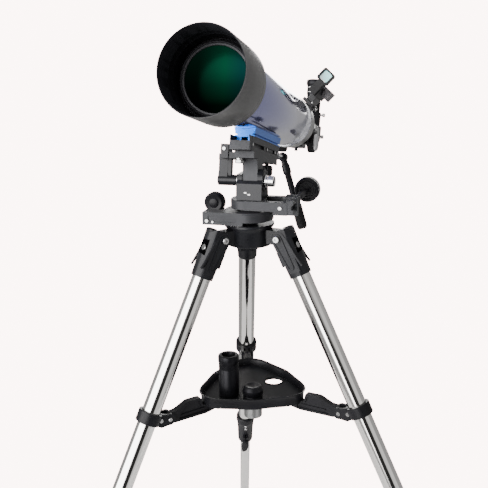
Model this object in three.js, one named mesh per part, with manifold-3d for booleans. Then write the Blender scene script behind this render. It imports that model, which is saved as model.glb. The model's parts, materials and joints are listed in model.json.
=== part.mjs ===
// A refracting telescope on an alt-azimuth mount and a folding steel tripod.
// Millimetres, +Z up. The whole object is built about the azimuth axis with z = 0 at the leg
// pivots, and is moved at the end so that its lowest, middle point is the origin.
import * as THREE from 'three';
import { mergeVertices } from 'three/addons/utils/BufferGeometryUtils.js';
import Module from 'manifold-3d';

const wasm = await Module();
wasm.setup();
const { Manifold, Mesh: SolidMesh } = wasm;

// ---------- driving dimensions ----------
const GAP = 0.3;                   // air between pieces that touch
const degrees = Math.PI / 180;
const FINE = 26;                   // sides of the widest, middling and smallest round pieces
const ROUND = 16;
const SMALL = 10;
const UP = new THREE.Vector3(0, 0, 1);

// tripod
const TRIPOD_TURN = 2.75 * degrees;
const LEG_SPLAY = 25.73 * degrees; // legs from the vertical
const LEG_PIVOT_R = 60;            // pivot bolts from the azimuth axis
const LEG_OFFSET = 5.9;            // leg axis outside its pivot
const LEG_R = 31.75 / 2;           // 1.25 inch upper tube
const LEG_BORE_R = 13.9;
const LOWER_R = 11;                // lower tube
const LOWER_BORE_R = 9.2;
const CHEEK_IN = 11.6;             // casting cheeks, inside and outside
const CHEEK_OUT = 17.5;
const SOCKET_TOP = -40;            // along the leg from the pivot
const SOCKET_END = -71;
const SOCKET_R = 18.8;
const UPPER_END = -585;
const LOCK_TOP = -556;
const LOCK_END = -640;
const LOWER_TOP = -430;
const FOOT_TOP = -900;
const FOOT_END = -962;

// spreader and tray
const CLAMP_Z = -320;              // clamp band along the leg
const CLAMP_H = 20;
const CLAMP_R = 21;
const ARM_PIVOT_X = -28.8;         // outer arm pivot in the leg's frame
const ARM_PIVOT_Z = -314.7;
const ARM_INNER_R = 76;            // inner arm pivot from the azimuth axis
const ARM_T = 12;
const TRAY_RIM = -273;
const TRAY_FLOOR = -286;
const TRAY_BOTTOM = -293;
const TRAY_HOLE_R = 16.4;
const ACCESSORY_R = 31.75 / 2;     // 1.25 inch barrels

// mount
const MOUNT_TURN = -15.82 * degrees;
const HUB_TOP = 20.6;
const LOWER_DRUM = { r: 42, z0: 26.7, z1: 43.6 };
const UPPER_DRUM = { r: 30.7, z0: 46.6, z1: 62.4 };
const ALT_Z = 92;                  // altitude axis above the leg pivots
const ELEVATION = 12.89 * degrees;
const NECK = { x0: -7, x1: 19, r: 14 };
const FORK = { x0: -16, x1: 28, r: 20 };
const SCREW = { x: 76, z: 57 };    // slow-motion screw in the mount's frame

// telescope tube: s runs forward along its axis, from a point above the altitude axis
const TUBE_AXIS_H = 133.9;         // tube axis above the altitude axis
const TUBE_S0 = 30.65;             // s = 0 forward of the altitude axis
const TUBE_R = 50.9;
const TUBE_BORE_R = 49.2;
const TUBE_REAR = -288.7;
const TUBE_FRONT = 149.7;
const SHIELD = { r: 64.7, bore: 62.7, rear: 138, front: 234.8 };
const LENS_R = 50.9;
const CELL_END = -378;
const FOCUSER_END = -432;
const DRAW_R = 21;
const COLLAR = { r: 28, s0: -485, s1: -512 };
const DIAGONAL_S = -545;
const DIAGONAL_ROLL = 2.5 * degrees;
const FOCUS_AXIS = { s: -405, v: -31.5 };
const FINDER_ANGLE = 43 * degrees; // round the tube from its top

// ---------- solids ----------
function signedVolume(position, index) {
  const [a, b, c] = [new THREE.Vector3(), new THREE.Vector3(), new THREE.Vector3()];
  let volume = 0;
  for (let i = 0; i < index.length; i += 3) {
    a.fromBufferAttribute(position, index[i]);
    b.fromBufferAttribute(position, index[i + 1]);
    c.fromBufferAttribute(position, index[i + 2]);
    volume += a.dot(b.cross(c)) / 6;
  }
  return volume;
}

// a closed geometry as a manifold solid, with its faces turned outwards
function solid(geometry) {
  const bare = geometry.clone();
  bare.deleteAttribute('normal');
  bare.deleteAttribute('uv');
  const merged = mergeVertices(bare, 1e-4);
  const all = merged.index.array;
  const kept = [];
  for (let i = 0; i < all.length; i += 3) {
    const [a, b, c] = [all[i], all[i + 1], all[i + 2]];
    if (a !== b && b !== c && c !== a) kept.push(a, b, c);
  }
  if (signedVolume(merged.attributes.position, kept) < 0) {
    for (let i = 0; i < kept.length; i += 3) [kept[i], kept[i + 1]] = [kept[i + 1], kept[i]];
  }
  return new Manifold(new SolidMesh({
    numProp: 3,
    vertProperties: new Float32Array(merged.attributes.position.array),
    triVerts: new Uint32Array(kept),
  }));
}

function toGeometry(body) {
  const mesh = body.getMesh();
  const geometry = new THREE.BufferGeometry();
  geometry.setAttribute('position', new THREE.BufferAttribute(mesh.vertProperties, 3));
  geometry.setIndex(new THREE.BufferAttribute(mesh.triVerts, 1));
  geometry.computeVertexNormals();
  return geometry;
}

const join = (...bodies) => bodies.reduce((a, b) => a.add(b));
const cut = (body, ...tools) => tools.reduce((a, b) => a.subtract(b), body);

// a box from its two corners
function box(x0, x1, y0, y1, z0, z1) {
  const geometry = new THREE.BoxGeometry(x1 - x0, y1 - y0, z1 - z0);
  return solid(geometry.translate((x0 + x1) / 2, (y0 + y1) / 2, (z0 + z1) / 2));
}

// a cylinder between two heights on a line parallel to an axis
function rod(axis, r, from, to, [u, v] = [0, 0], sides = ROUND, r2 = r) {
  const geometry = new THREE.CylinderGeometry(r2, r, to - from, sides).translate(0, (from + to) / 2, 0);
  if (axis === 'x') geometry.rotateZ(-Math.PI / 2).translate(0, u, v);
  if (axis === 'y') geometry.translate(u, 0, v);
  if (axis === 'z') geometry.rotateX(Math.PI / 2).translate(u, v, 0);
  return solid(geometry);
}

// a turned piece about Z from a closed profile of [radius, height] points
function turned(profile, sides = ROUND) {
  const points = profile.map(([r, z]) => new THREE.Vector2(r, z));
  points.push(points[0].clone());
  return solid(new THREE.LatheGeometry(points, sides).rotateX(Math.PI / 2));
}

// a turned piece about the tube's axis, profile of [radius, s]; s runs towards -Y
const turnedOnTube = (profile, sides = FINE) => turned(profile, sides).rotate([90, 0, 0]);

// a side view drawn in X and Z, given a thickness along Y
function plate(shape, y0, y1) {
  const geometry = new THREE.ExtrudeGeometry(shape, { depth: y1 - y0, bevelEnabled: false, curveSegments: 4 });
  return solid(geometry.rotateX(Math.PI / 2).translate(0, y1, 0));
}

// an end view drawn in Y and Z, given a thickness along X
const sidePlate = (shape, x0, x1) => plate(shape, -x1, -x0).rotate([0, 0, 90]);

// an outline drawn in X and Y, given a height
function slab(shape, z0, z1) {
  const geometry = new THREE.ExtrudeGeometry(shape, { depth: z1 - z0, bevelEnabled: false, curveSegments: 4 });
  return solid(geometry.translate(0, 0, z0));
}

function outline(points) {
  return new THREE.Shape(points.map(([x, y]) => new THREE.Vector2(x, y)));
}

// ---------- scene helpers ----------
const finishes = {
  casting: { color: 0x2c2d30, roughness: 0.5, metalness: 0.3 },
  castingGrey: { color: 0x56585c, roughness: 0.5, metalness: 0.4 },
  steel: { color: 0xd5d3d0, roughness: 0.18, metalness: 1 },
  chrome: { color: 0xe4e4e6, roughness: 0.1, metalness: 1 },
  plastic: { color: 0x1b1c20, roughness: 0.45, metalness: 0 },
  rubber: { color: 0x17171a, roughness: 0.85, metalness: 0 },
  blue: { color: 0x1c2466, roughness: 0.12, metalness: 0.4 },
  anodised: { color: 0x3fa3ee, roughness: 0.3, metalness: 0.8 },
  satin: { color: 0x35363a, roughness: 0.4, metalness: 0.3 },
  silver: { color: 0xbfc1c3, roughness: 0.3, metalness: 0.9 },
  glass: { color: 0x0d5b45, roughness: 0.03, metalness: 0 },
};

function piece(parent, name, body, finish) {
  const mesh = new THREE.Mesh(toGeometry(body), new THREE.MeshStandardMaterial(finishes[finish]));
  mesh.name = name;
  parent.add(mesh);
  return mesh;
}

function frameAt(parent, x, y, z, turn = {}) {
  const group = new THREE.Group();
  group.position.set(x, y, z);
  group.rotation.set(turn.x ?? 0, turn.y ?? 0, turn.z ?? 0);
  parent.add(group);
  return group;
}

const telescope = new THREE.Group();
const LEGS = [['rear', 90], ['left', 210], ['right', 330]];

// ---------- tripod head ----------
// A casting with a flange for the mount, a round body and three ears for the legs.
function hubCasting() {
  const body = turned([[0, -18], [35.5, -18], [38.5, -15], [38.5, 9], [39.5, 12], [43, 17], [43, HUB_TOP], [0, HUB_TOP]], ROUND);
  const ear = join(box(18, LEG_PIVOT_R, -CHEEK_IN + GAP, CHEEK_IN - GAP, -14, 12),
    rod('y', 12, -CHEEK_IN + GAP, CHEEK_IN - GAP, [LEG_PIVOT_R, 0]));
  const pinHole = rod('y', 4.3, -20, 20, [LEG_PIVOT_R, 0], SMALL);
  const ears = LEGS.map(([, angle]) => cut(ear, pinHole).rotate([0, 0, angle]));
  const stem = rod('z', 16, HUB_TOP - 2, LOWER_DRUM.z0 - GAP, [0, 0], ROUND);
  return join(body, ...ears, stem);
}

// ---------- legs ----------
// In a leg's frame the pivot bolt lies along Y at the origin and the leg runs down along -Z.
function legCasting() {
  const cheek = new THREE.Shape();
  cheek.absarc(0, 0, 11, 175 * degrees, 60 * degrees, true);
  cheek.lineTo(17, 12);
  cheek.lineTo(17, SOCKET_END + 8);
  cheek.lineTo(-2, SOCKET_END + 8);
  cheek.quadraticCurveTo(-8, -42, -11, -8);
  const hoodSide = outline([[-20, SOCKET_END], [30, SOCKET_END], [30, -6], [21, 13], [3, 13], [3, -34], [-20, -42]]);
  const hood = rod('z', SOCKET_R, SOCKET_END, 14, [LEG_OFFSET, 0], ROUND, 21.5)
    .intersect(plate(hoodSide, -CHEEK_OUT, CHEEK_OUT));
  const earSpace = box(-30, 22, -CHEEK_IN, CHEEK_IN, SOCKET_TOP + 4, 30);
  const bore = rod('z', LEG_R + GAP, SOCKET_END - 5, SOCKET_TOP, [LEG_OFFSET, 0], ROUND);
  const window = box(14, 40, -11, 11, -33, -8);
  const pinHole = rod('y', 4.3, -30, 30, [0, 0], SMALL);
  const crossBolt = rod('y', 3.4, -13, 13, [15, -24], SMALL);
  const pads = [-1, 1].map((sideSign) => {
    const oblong = new THREE.Shape();
    oblong.absarc(0, 0, 7.5, 0, Math.PI, false);
    oblong.absarc(3, -50, 4.5, Math.PI, 2 * Math.PI, false);
    const [y0, y1] = sideSign > 0 ? [CHEEK_OUT - 1, CHEEK_OUT + 1.6] : [-CHEEK_OUT - 1.6, -CHEEK_OUT + 1];
    return plate(oblong, y0, y1);
  });
  const web = join(box(-14, -9, -CHEEK_IN - 1, CHEEK_IN + 1, -48, -20),
    rod('x', 2.9, -15.6, -13, [0, -28], SMALL), rod('x', 2.9, -15.6, -13, [0, -39], SMALL));
  const body = join(plate(cheek, -CHEEK_OUT, CHEEK_OUT), hood, ...pads);
  return cut(join(cut(body, earSpace, window), crossBolt, web), bore, pinHole);
}

function pivotBolt() {
  const end = CHEEK_OUT + 1.9;
  const shank = rod('y', 4, -end - 1, end + 1, [0, 0], SMALL);
  return join(shank, rod('y', 5.6, end, end + 4, [0, 0], SMALL), rod('y', 5.6, -end - 4, -end, [0, 0], 6));
}

function upperTube() {
  const top = SOCKET_TOP - GAP;
  return cut(rod('z', LEG_R, UPPER_END, top, [LEG_OFFSET, 0], ROUND),
    rod('z', LEG_BORE_R, UPPER_END - 5, top + 5, [LEG_OFFSET, 0], ROUND));
}

// The lock: a moulding round the end of the upper tube that narrows to the lower tube.
function lockCollar() {
  const body = turned([[LEG_R + GAP, LOCK_TOP], [20, LOCK_TOP], [20.5, LOCK_TOP - 14], [18, UPPER_END - 8],
    [16.5, LOCK_END], [LOWER_R + GAP, LOCK_END], [LOWER_R + GAP, UPPER_END - GAP],
    [LEG_R + GAP, UPPER_END - GAP]], ROUND).translate([LEG_OFFSET, 0, 0]);
  const lug = box(LEG_OFFSET - 25, LEG_OFFSET - LOWER_R - 1, -6, 6, LOCK_END + 4, LOCK_END + 30);
  const slot = box(LEG_OFFSET - 30, LEG_OFFSET - LOWER_R - 2.4, -1.2, 1.2, LOCK_END - 1, LOCK_END + 34);
  const leverSeat = box(LEG_OFFSET - 27, LEG_OFFSET - 20.5, -8, 8, LOCK_END, LOCK_END + 23);
  return cut(join(body, lug), slot, leverSeat);
}

// In the lever's own frame its screw runs along X at the origin, and the lever hangs down.
function lockLever() {
  const blade = new THREE.Shape();
  blade.absarc(0, 0, 7, 20 * degrees, 160 * degrees, false);
  blade.quadraticCurveTo(-10, -14, -8, -30);
  blade.lineTo(2, -27);
  blade.quadraticCurveTo(9, -14, 7 * Math.cos(20 * degrees), 7 * Math.sin(20 * degrees));
  return join(sidePlate(blade, GAP, 5), rod('x', 4, -0.1, 1, [0, 0], SMALL), rod('x', 3.4, 4.5, 7, [0, 0], SMALL));
}

function lowerTube() {
  return cut(rod('z', LOWER_R, FOOT_TOP - 20, LOWER_TOP, [LEG_OFFSET, 0], ROUND),
    rod('z', LOWER_BORE_R, FOOT_TOP - 25, LOWER_TOP + 5, [LEG_OFFSET, 0], ROUND));
}

// The rubber foot: its sole is cut level with the floor.
function foot() {
  const body = turned([[0, FOOT_END - 12], [17, FOOT_END - 12], [17, FOOT_END + 10], [14, FOOT_TOP - 22],
    [14, FOOT_TOP], [LOWER_R + GAP, FOOT_TOP], [LOWER_R + GAP, FOOT_TOP - 20.3], [0, FOOT_TOP - 20.3]], ROUND);
  const level = box(-60, 60, -60, 60, -60, 0).rotate([0, LEG_SPLAY / degrees, 0])
    .translate([0, 0, FOOT_END]);
  return cut(body, level).translate([LEG_OFFSET, 0, 0]);
}

// ---------- spreader ----------
// A band round the upper tube with a fork on its inner side for the arm.
function spreaderClamp() {
  const [z0, z1] = [CLAMP_Z - CLAMP_H / 2, CLAMP_Z + CLAMP_H / 2];
  const ring = rod('z', CLAMP_R, z0, z1, [LEG_OFFSET, 0], ROUND);
  const forkSide = new THREE.Shape();
  forkSide.moveTo(-6, z0);
  forkSide.lineTo(-6, z1);
  forkSide.lineTo(-20, z1 + 2);
  forkSide.absarc(ARM_PIVOT_X, ARM_PIVOT_Z, 10, 60 * degrees, 262 * degrees, false);
  forkSide.lineTo(-18, z0 - 2);
  const fork = plate(forkSide, -11.5, 11.5);
  const armSpace = box(-60, -10.5, -ARM_T / 2 - 0.6, ARM_T / 2 + 0.6, z0 - 40, z1 + 40);
  const heads = [-1, 1].flatMap((sideSign) => [[-12.5, CLAMP_Z], [ARM_PIVOT_X, ARM_PIVOT_Z]].map(([x, z]) => (
    sideSign > 0 ? rod('y', 3.6, 9, 13.6, [x, z], SMALL) : rod('y', 3.6, -13.6, -9, [x, z], SMALL))));
  const bore = rod('z', LEG_R + GAP, z0 - 5, z1 + 5, [LEG_OFFSET, 0], ROUND);
  return cut(join(cut(join(ring, fork), armSpace), ...heads), bore);
}

// The arm in the tripod's radial plane: X outwards, Z up, its inner pivot at the origin.
function spreaderArm(length) {
  const side = new THREE.Shape();
  side.absarc(0, 0, 6.4, 100 * degrees, 260 * degrees, false);
  for (const [x, z] of [[22, -11], [length - 12, -11.5], [length - 2, -8.5], [length + 3.5, -3], [length + 3.5, 4],
    [length - 3, 9], [78, 10], [56, 20.5], [33, 20.5], [29, 6.3]]) side.lineTo(x, z);
  const web = plate(side, -ARM_T / 2, ARM_T / 2);
  const pocket = (y0, y1) => box(14, length - 22, y0, y1, -6, 4);
  const pinHole = rod('y', 3.3, -10, 10, [0, 0], SMALL);
  return cut(web, pocket(2, 8), pocket(-8, -2), pinHole);
}

// ---------- accessory tray ----------
// A rounded triangle, its corners towards the legs; the outline's radius at an angle.
function trayOutline(inset) {
  const points = [];
  const steps = 27;
  for (let i = 0; i < steps; i += 1) {
    const t = (i / steps) * 2 * Math.PI;
    const bend = 3 * (t - Math.PI / 2);
    const r = 88 + 12 * Math.cos(bend) + 3.1 * Math.cos(2 * bend) - inset;
    points.push([r * Math.cos(t), r * Math.sin(t)]);
  }
  return outline(points);
}

const BARLOW_AT = new THREE.Vector2(-41, -26.5);
const SPARE_AT = new THREE.Vector2(0, -45);
const FREE_HOLE_AT = new THREE.Vector2(42, 24.3);

function accessoryTray() {
  const wall = join(slab(trayOutline(3.5), TRAY_BOTTOM, TRAY_RIM), slab(trayOutline(0), TRAY_RIM - 3, TRAY_RIM));
  const inside = slab(trayOutline(6), TRAY_FLOOR, TRAY_RIM + 5);
  const below = slab(trayOutline(6), TRAY_BOTTOM - 5, TRAY_FLOOR - 3);
  const holes = [BARLOW_AT, SPARE_AT, FREE_HOLE_AT].map(({ x, y }) => (
    rod('z', TRAY_HOLE_R, TRAY_FLOOR - 10, TRAY_FLOOR + 5, [x, y], ROUND)));
  const lugZ = ARM_PIVOT_WORLD.z;
  const lugs = LEGS.flatMap(([, angle]) => [-1, 1].map((sideSign) => {
    const y = sideSign * (ARM_T / 2 + 3.3);
    const ear = join(box(ARM_INNER_R - 7, ARM_INNER_R + 7, y - 2.5, y + 2.5, lugZ, TRAY_FLOOR - 2),
      rod('y', 7, y - 2.5, y + 2.5, [ARM_INNER_R, lugZ], SMALL));
    return ear.rotate([0, 0, angle]);
  }));
  const pins = LEGS.map(([, angle]) => rod('y', 3, -10, 10, [ARM_INNER_R, lugZ], SMALL).rotate([0, 0, angle]));
  const gates = LEGS.map(([, angle]) => (
    box(ARM_INNER_R - 12, 120, -ARM_T / 2 - 0.8, ARM_T / 2 + 0.8, TRAY_BOTTOM - 5, TRAY_FLOOR - 3)
      .rotate([0, 0, angle])));
  return join(cut(join(cut(wall, inside, below, ...holes), ...lugs), ...gates), ...pins);
}

// Accessories stand in the tray with their barrels in its holes; z = 0 is the tray's floor.
function barlowLens() {
  const r = ACCESSORY_R;
  return turned([[11, -11], [r, -11], [r, GAP], [17.6, GAP], [17.6, 62], [18.4, 64], [18.4, 74], [17, 76],
    [12, 76], [12, 66], [11, 64]], ROUND);
}

function spareEyepiece() {
  const r = ACCESSORY_R;
  return turned([[12.5, -17], [r, -17], [r, GAP], [17, GAP], [17, 6], [16.2, 7], [16.2, 9], [18, 10], [18, 18],
    [15.5, 23], [13, 25], [0, 22], [0, 4], [12.5, 4]], ROUND);
}

// ---------- mount: azimuth ----------
// The lower drum with its arm to the left, the clamp lug and the nut block for the screw.
function azimuthBase() {
  const { r, z0, z1 } = LOWER_DRUM;
  const drum = rod('z', r, z0, z1, [0, 0], FINE);
  const arm = box(-70, 0, -r, -r + 25, z0 - 4.5, z1);
  const beam = slab(outline([[-66, -20], [-44, -18], [-62, 60], [-83, 60], [-71, 8]]), z0 - 4.5, z0 + 4);
  const lug = box(-83, -65, LOCK_KNOB.y + 10.3, 60, z0 - 4.5, LOCK_KNOB.z + 7);
  const bridge = box(20, 64, -7, 7, z0 + 9, z1);
  const nut = box(60, SCREW.x + 9, -5, 5, z0 + 9, SCREW.z + 9);
  const spigot = rod('z', 20, z1 - 1, UPPER_DRUM.z0 - GAP, [0, 0], ROUND);
  const screwHole = rod('y', 6, -20, 20, [SCREW.x, SCREW.z], SMALL);
  const recess = box(-60, -12, -r - 1, -r + 1.2, z0 + 1, z1 - 5);
  const clampHole = rod('y', 3.6, LOCK_KNOB.y, 70, [LOCK_KNOB.x, LOCK_KNOB.z], SMALL);
  const scoop = rod('y', LOCK_KNOB.r + 1, LOCK_KNOB.y - 11, LOCK_KNOB.y + 10.3, [LOCK_KNOB.x, LOCK_KNOB.z], ROUND);
  return cut(join(drum, arm, beam, lug, bridge, nut, spigot), screwHole, recess, clampHole, scoop);
}

const LOCK_KNOB = { x: -74.4, y: 41.3, z: 43.9, r: 18.4 };

// a round clamp knob whose screw runs back into the lug behind it
function azimuthLockKnob() {
  const { r } = LOCK_KNOB;
  const knob = turned([[0, -9], [r - 3, -9], [r, -5], [r, 5], [r - 4, 10], [0, 10]], ROUND);
  const dish = rod('z', 8, -12, -7, [0, 0], ROUND);
  const shank = rod('z', 3.2, 6, 20, [0, 0], SMALL);
  return join(cut(knob, dish), shank).rotate([-90, 0, 0]);
}

// The upper drum with the yoke that carries the slow-motion screw.
function turntable() {
  const { r, z0, z1 } = UPPER_DRUM;
  const drum = rod('z', r, z0, z1, [0, 0], ROUND);
  const frontArm = join(box(0, 73, -r, -r + 13, z0, z1), box(50, 73, -r, -r + 13, z0 - 5.8, z1));
  const rearArm = join(box(0, 74, r - 11, r, z0 + 3, z1), box(60, 83, r - 10, r - 1, z0 - 1, z1 + 3));
  const frontLug = box(71, 83, -r + 1, -r + 12, z0 - 4, z1 + 3);
  const screwHole = rod('y', 4.6, -r + 5, 60, [SCREW.x, SCREW.z], SMALL);
  const armScrew = rod('y', 3.6, -r - 2, -r + 1, [61, 53], SMALL);
  const bore = rod('z', 20 + 2 * GAP, z0 - 5, z0 + 2, [0, 0], ROUND);
  return cut(join(drum, frontArm, rearArm, frontLug, armScrew), screwHole, bore);
}

// The screw along Y; its origin is where the yoke's rear arm holds it.
const KNOB_AT = 84;                // knob face behind the rear arm
function tangentScrew() {
  const shaft = rod('y', 4, -55, KNOB_AT + 9, [0, 0], SMALL);
  const washer = rod('y', 7, GAP, 4, [0, 0], SMALL);
  return join(shaft, washer);
}

const BIG_KNOB_R = 22.3;

function slowMotionKnob() {
  const r = BIG_KNOB_R;
  const rim = turned([[0, -3], [r - 3, -3], [r - 1, -1], [r, 3], [r, 17], [r - 4, 23], [0, 23]], ROUND);
  const groove = cut(rod('z', 15.5, -6, 1, [0, 0], ROUND), rod('z', 8.5, -7, 2, [0, 0], ROUND));
  const bore = rod('z', 4 + GAP, -10, 12, [0, 0], SMALL);
  return cut(rim, groove, bore).rotate([-90, 0, 0]);
}

// ---------- mount: altitude ----------
// The fork: a tapered column with a slot for the neck and a round cheek on its right.
function columnFork() {
  const base = UPPER_DRUM.z1 + GAP - ALT_Z;
  const side = new THREE.Shape();
  side.moveTo(-24, base);
  side.lineTo(-21, -2);
  side.lineTo(-16, 4);
  side.lineTo(-15, 12);
  side.absarc(0, 0, FORK.r, 140 * degrees, 0, true);
  side.lineTo(24, base);
  const body = sidePlate(side, FORK.x0, FORK.x1);
  const slot = join(rod('x', NECK.r + 2.5, NECK.x0 - GAP, NECK.x1 + GAP),
    box(NECK.x0 - GAP, NECK.x1 + GAP, -17.2, 60, -9, 60), box(NECK.x0 - GAP, NECK.x1 + GAP, -60, 60, 4.6, 60));
  const axle = rod('x', 5, -40, 60, [0, 0], SMALL);
  const leftTrim = box(FORK.x0 - 1, NECK.x0, -40, 40, 13, 60);
  return cut(body, slot, axle, leftTrim);
}

// The neck stands on the altitude axle and carries the plate under the saddle.
function tiltHead() {
  const side = new THREE.Shape();
  side.absarc(0, 0, NECK.r, 180 * degrees, 360 * degrees, false);
  side.lineTo(16, 20);
  side.lineTo(22, 36);
  side.lineTo(-22, 36);
  side.lineTo(-15.5, 20);
  const { half, mid, bottom } = SADDLE;
  const topPlate = box(-half + 2, half + 1.5, -40, 121, bottom, mid - GAP);
  const ledge = box(-half, -half + 3, -33, 90, bottom + 3, mid - GAP);
  const body = join(sidePlate(side, NECK.x0, NECK.x1), topPlate, ledge);
  const boltHole = rod('z', 4.6, bottom - 5, bottom + 6, [BOLT_AT.x, BOLT_AT.y], SMALL);
  return cut(body, rod('x', 5, -40, 60, [0, 0], SMALL), boltHole);
}

// The barrel clamped on the axle, with the arm that reaches up beside the saddle.
function altitudeArm() {
  const barrel = join(rod('x', 9.2, -53, -19, [0, 0], ROUND), rod('x', 8, -19, FORK.x0 - GAP, [0, 0], ROUND));
  const upright = box(-52, -36, -7.5, 7.5, 0, 44);
  const innerRib = box(-38, -30, -5.5, 5.5, 6, 40);
  const bracket = join(box(-41, -17 - GAP, -31, 7.5, 34.5, 45), box(-41, -28, -34, -8, 34.5, 58));
  const axle = rod('x', 4.7, -20, 31, [0, 0], SMALL);
  return join(barrel, upright, innerRib, bracket, axle);
}

function altitudeLockKnob() {
  const x0 = FORK.x1 + GAP;
  const washer = rod('x', 11, x0, x0 + 3, [0, 0], ROUND);
  const knob = join(rod('x', 8, x0 + 3, x0 + 6, [0, 0], ROUND), rod('x', 9.3, x0 + 5.4, x0 + 17, [0, 0], SMALL));
  return cut(join(washer, knob), rod('x', 4.7 + GAP, 0, 31.4, [0, 0], SMALL));
}

// ---------- saddle ----------
// Lengths run forward along -Y in the tilting frame; heights are above the altitude axis.
const SADDLE = { half: 17, front: 64, rear: -139, top: 70.4, mid: 46.4, bottom: 35 };

function saddleBlock() {
  const { half, front, rear, top, mid } = SADDLE;
  const block = box(-half, half, -front, -rear, mid, top);
  const groove = outline([[-14.4, top + 1], [-16, top - 9], [16, top - 9], [14.4, top + 1]]);
  const dovetailWay = plate(groove, -front - 5, -rear + 5);
  const sideSlot = box(half - 5, half + 2, -front + 26, -rear - 20, mid + 7, top - 10.5);
  const jawSlit = box(half - 8, half + 2, -front + 12, -front + 14, mid - 1, top + 1);
  return cut(block, dovetailWay, sideSlot, jawSlit);
}

function saddleKnob() {
  const grip = turned([[0, -21], [8, -21], [10.5, -18], [10.5, -5], [7, -2], [3.5, -2], [3.5, -GAP], [0, -GAP]], ROUND);
  return grip;
}

// the clamp bolt under the plate's front end
const BOLT_AT = { x: -8, y: -33 };

function saddleBolt() {
  return join(rod('z', 4.2, -5, 5, [0, 0], SMALL), rod('z', 6.6, -3.4, -GAP, [0, 0], ROUND), rod('z', 7.6, -8.6, -3.4, [0, 0], 6));
}

// The bar under the tube: a dovetail foot, a waist and a cradle hollowed to the tube.
function dovetailBar() {
  const { top } = SADDLE;
  const length = [-36, 143];
  const foot_ = outline([[-15.2, top - 8.6], [-13.7, top + 0.8], [13.7, top + 0.8], [15.2, top - 8.6]]);
  const web = box(-17, 17, length[0], length[1], top + 0.4, top + 9);
  const cradle = outline([[-17, top + 8], [-20, top + 21], [20, top + 21], [17, top + 8]]);
  const body = join(plate(foot_, ...length), web, plate(cradle, ...length));
  const hollow = rod('y', TUBE_R + GAP, length[0] - 5, length[1] + 5, [0, TUBE_AXIS_H], FINE);
  const under = box(-5.5, 5.5, length[0] - 5, length[1] + 5, top - 9, top - 1);
  return cut(body, hollow, under);
}

// ---------- pan handle ----------
// Its frame: the shaft runs back along +Y from the saddle's rear face.
const HANDLE_AT = { x: 10, y: 139, z: 57 };

function handleShaft() {
  return rod('y', 4.4, GAP, 56, [0, 0], SMALL);
}

const ELBOW = new THREE.Vector3(0, 65, 0);
const ROD_END = new THREE.Vector3(28, 68, -85);
const GRIP_END = new THREE.Vector3(45, 70, -137);

// a turned piece moved so that its own Z runs from one point towards another
function along(body, from, to) {
  const turn = new THREE.Quaternion().setFromUnitVectors(UP, to.clone().sub(from).normalize());
  return body.transform([...new THREE.Matrix4().makeRotationFromQuaternion(turn).setPosition(from).elements]);
}

function handleRod() {
  const length = ELBOW.distanceTo(ROD_END);
  const socket = rod('y', 8.6, 56 + GAP, 72, [0, 0], ROUND);
  const bar = turned([[0, -2], [6.4, -2], [6.4, 16], [8, 18], [8, 32], [6.4, 34], [6.4, length], [0, length]], ROUND);
  return join(socket, along(bar, ELBOW, ROD_END));
}

function handleGrip() {
  const length = ROD_END.distanceTo(GRIP_END);
  return along(turned([[0, GAP], [7.5, GAP], [9.6, 6], [10.2, 40], [9, length - 3], [6, length], [0, length]], ROUND),
    ROD_END, GRIP_END);
}

// ---------- optical tube ----------
function mainTube() {
  return turnedOnTube([[TUBE_BORE_R, TUBE_REAR], [TUBE_R, TUBE_REAR], [TUBE_R, TUBE_FRONT],
    [TUBE_BORE_R, TUBE_FRONT]], FINE);
}

function dewShield() {
  const { r, bore, rear, front } = SHIELD;
  return turnedOnTube([[58.4, rear], [r - 1.5, rear], [r, rear + 3], [r, front - 1], [r - 0.5, front],
    [bore + 0.3, front], [bore, front - 1], [bore, rear + 3.4], [58.4, rear + 3.4]], FINE);
}

function lensCell() {
  return turnedOnTube([[TUBE_R + GAP, 112], [57, 112], [58, 114], [58, 141.7], [62.3, 141.8], [62.3, 150],
    [58, 153], [58, 163], [54, 168], [48.2, 168], [48.2, 165.6], [TUBE_R + GAP, 165.6]], FINE);
}

function objectiveLens() {
  return turnedOnTube([[0, 148.4], [18, 148.7], [35, 149.6], [48.8, 150.4], [LENS_R, 150.4], [LENS_R, 161],
    [44, 162.4], [30, 164.1], [15, 165], [0, 165.2]], FINE);
}

function rearCell() {
  return turnedOnTube([[30, -262], [TUBE_BORE_R - GAP, -262], [TUBE_BORE_R - GAP, TUBE_REAR - GAP],
    [52, TUBE_REAR - GAP], [52, -306], [50, -308], [50, -330], [40, -366], [37, CELL_END], [30, CELL_END]], FINE);
}

function focuserBody() {
  const { s, v } = FOCUS_AXIS;
  const barrel = turnedOnTube([[DRAW_R + GAP, -330], [30 - GAP, -330], [30 - GAP, CELL_END - GAP],
    [35.5, CELL_END - GAP], [35.5, CELL_END - 5], [24.6, CELL_END - 5.6], [24.6, FOCUSER_END],
    [DRAW_R + GAP, FOCUSER_END]], ROUND);
  const housing = cut(box(-15, 15, -s - 20, -s + 20, v - 11, v + 8), rod('y', DRAW_R + GAP, 300, 500, [0, 0], ROUND));
  const tension = rod('z', 3.4, v - 19, v - 9, [0, -s - 9], SMALL);
  const shaftHole = rod('x', 3.6, -30, 30, [-s, v], SMALL);
  return cut(join(barrel, housing, tension), shaftHole);
}

function drawtube() {
  const { r, s0, s1 } = COLLAR;
  const tube = turnedOnTube([[19, -300], [DRAW_R, -300], [DRAW_R, s0], [r - 2, s0], [r, s0 - 2], [r, s1 + 3],
    [r - 3, s1], [ACCESSORY_R + 0.5, s1], [ACCESSORY_R + 0.5, s0 - 2], [19, s0 - 2]], ROUND);
  const screw = join(rod('x', 2.2, r - 4, r + 9, [-s0 + 14, -9], SMALL), rod('x', 4.2, r + 5, r + 11, [-s0 + 14, -9], SMALL));
  return join(tube, screw);
}

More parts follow.
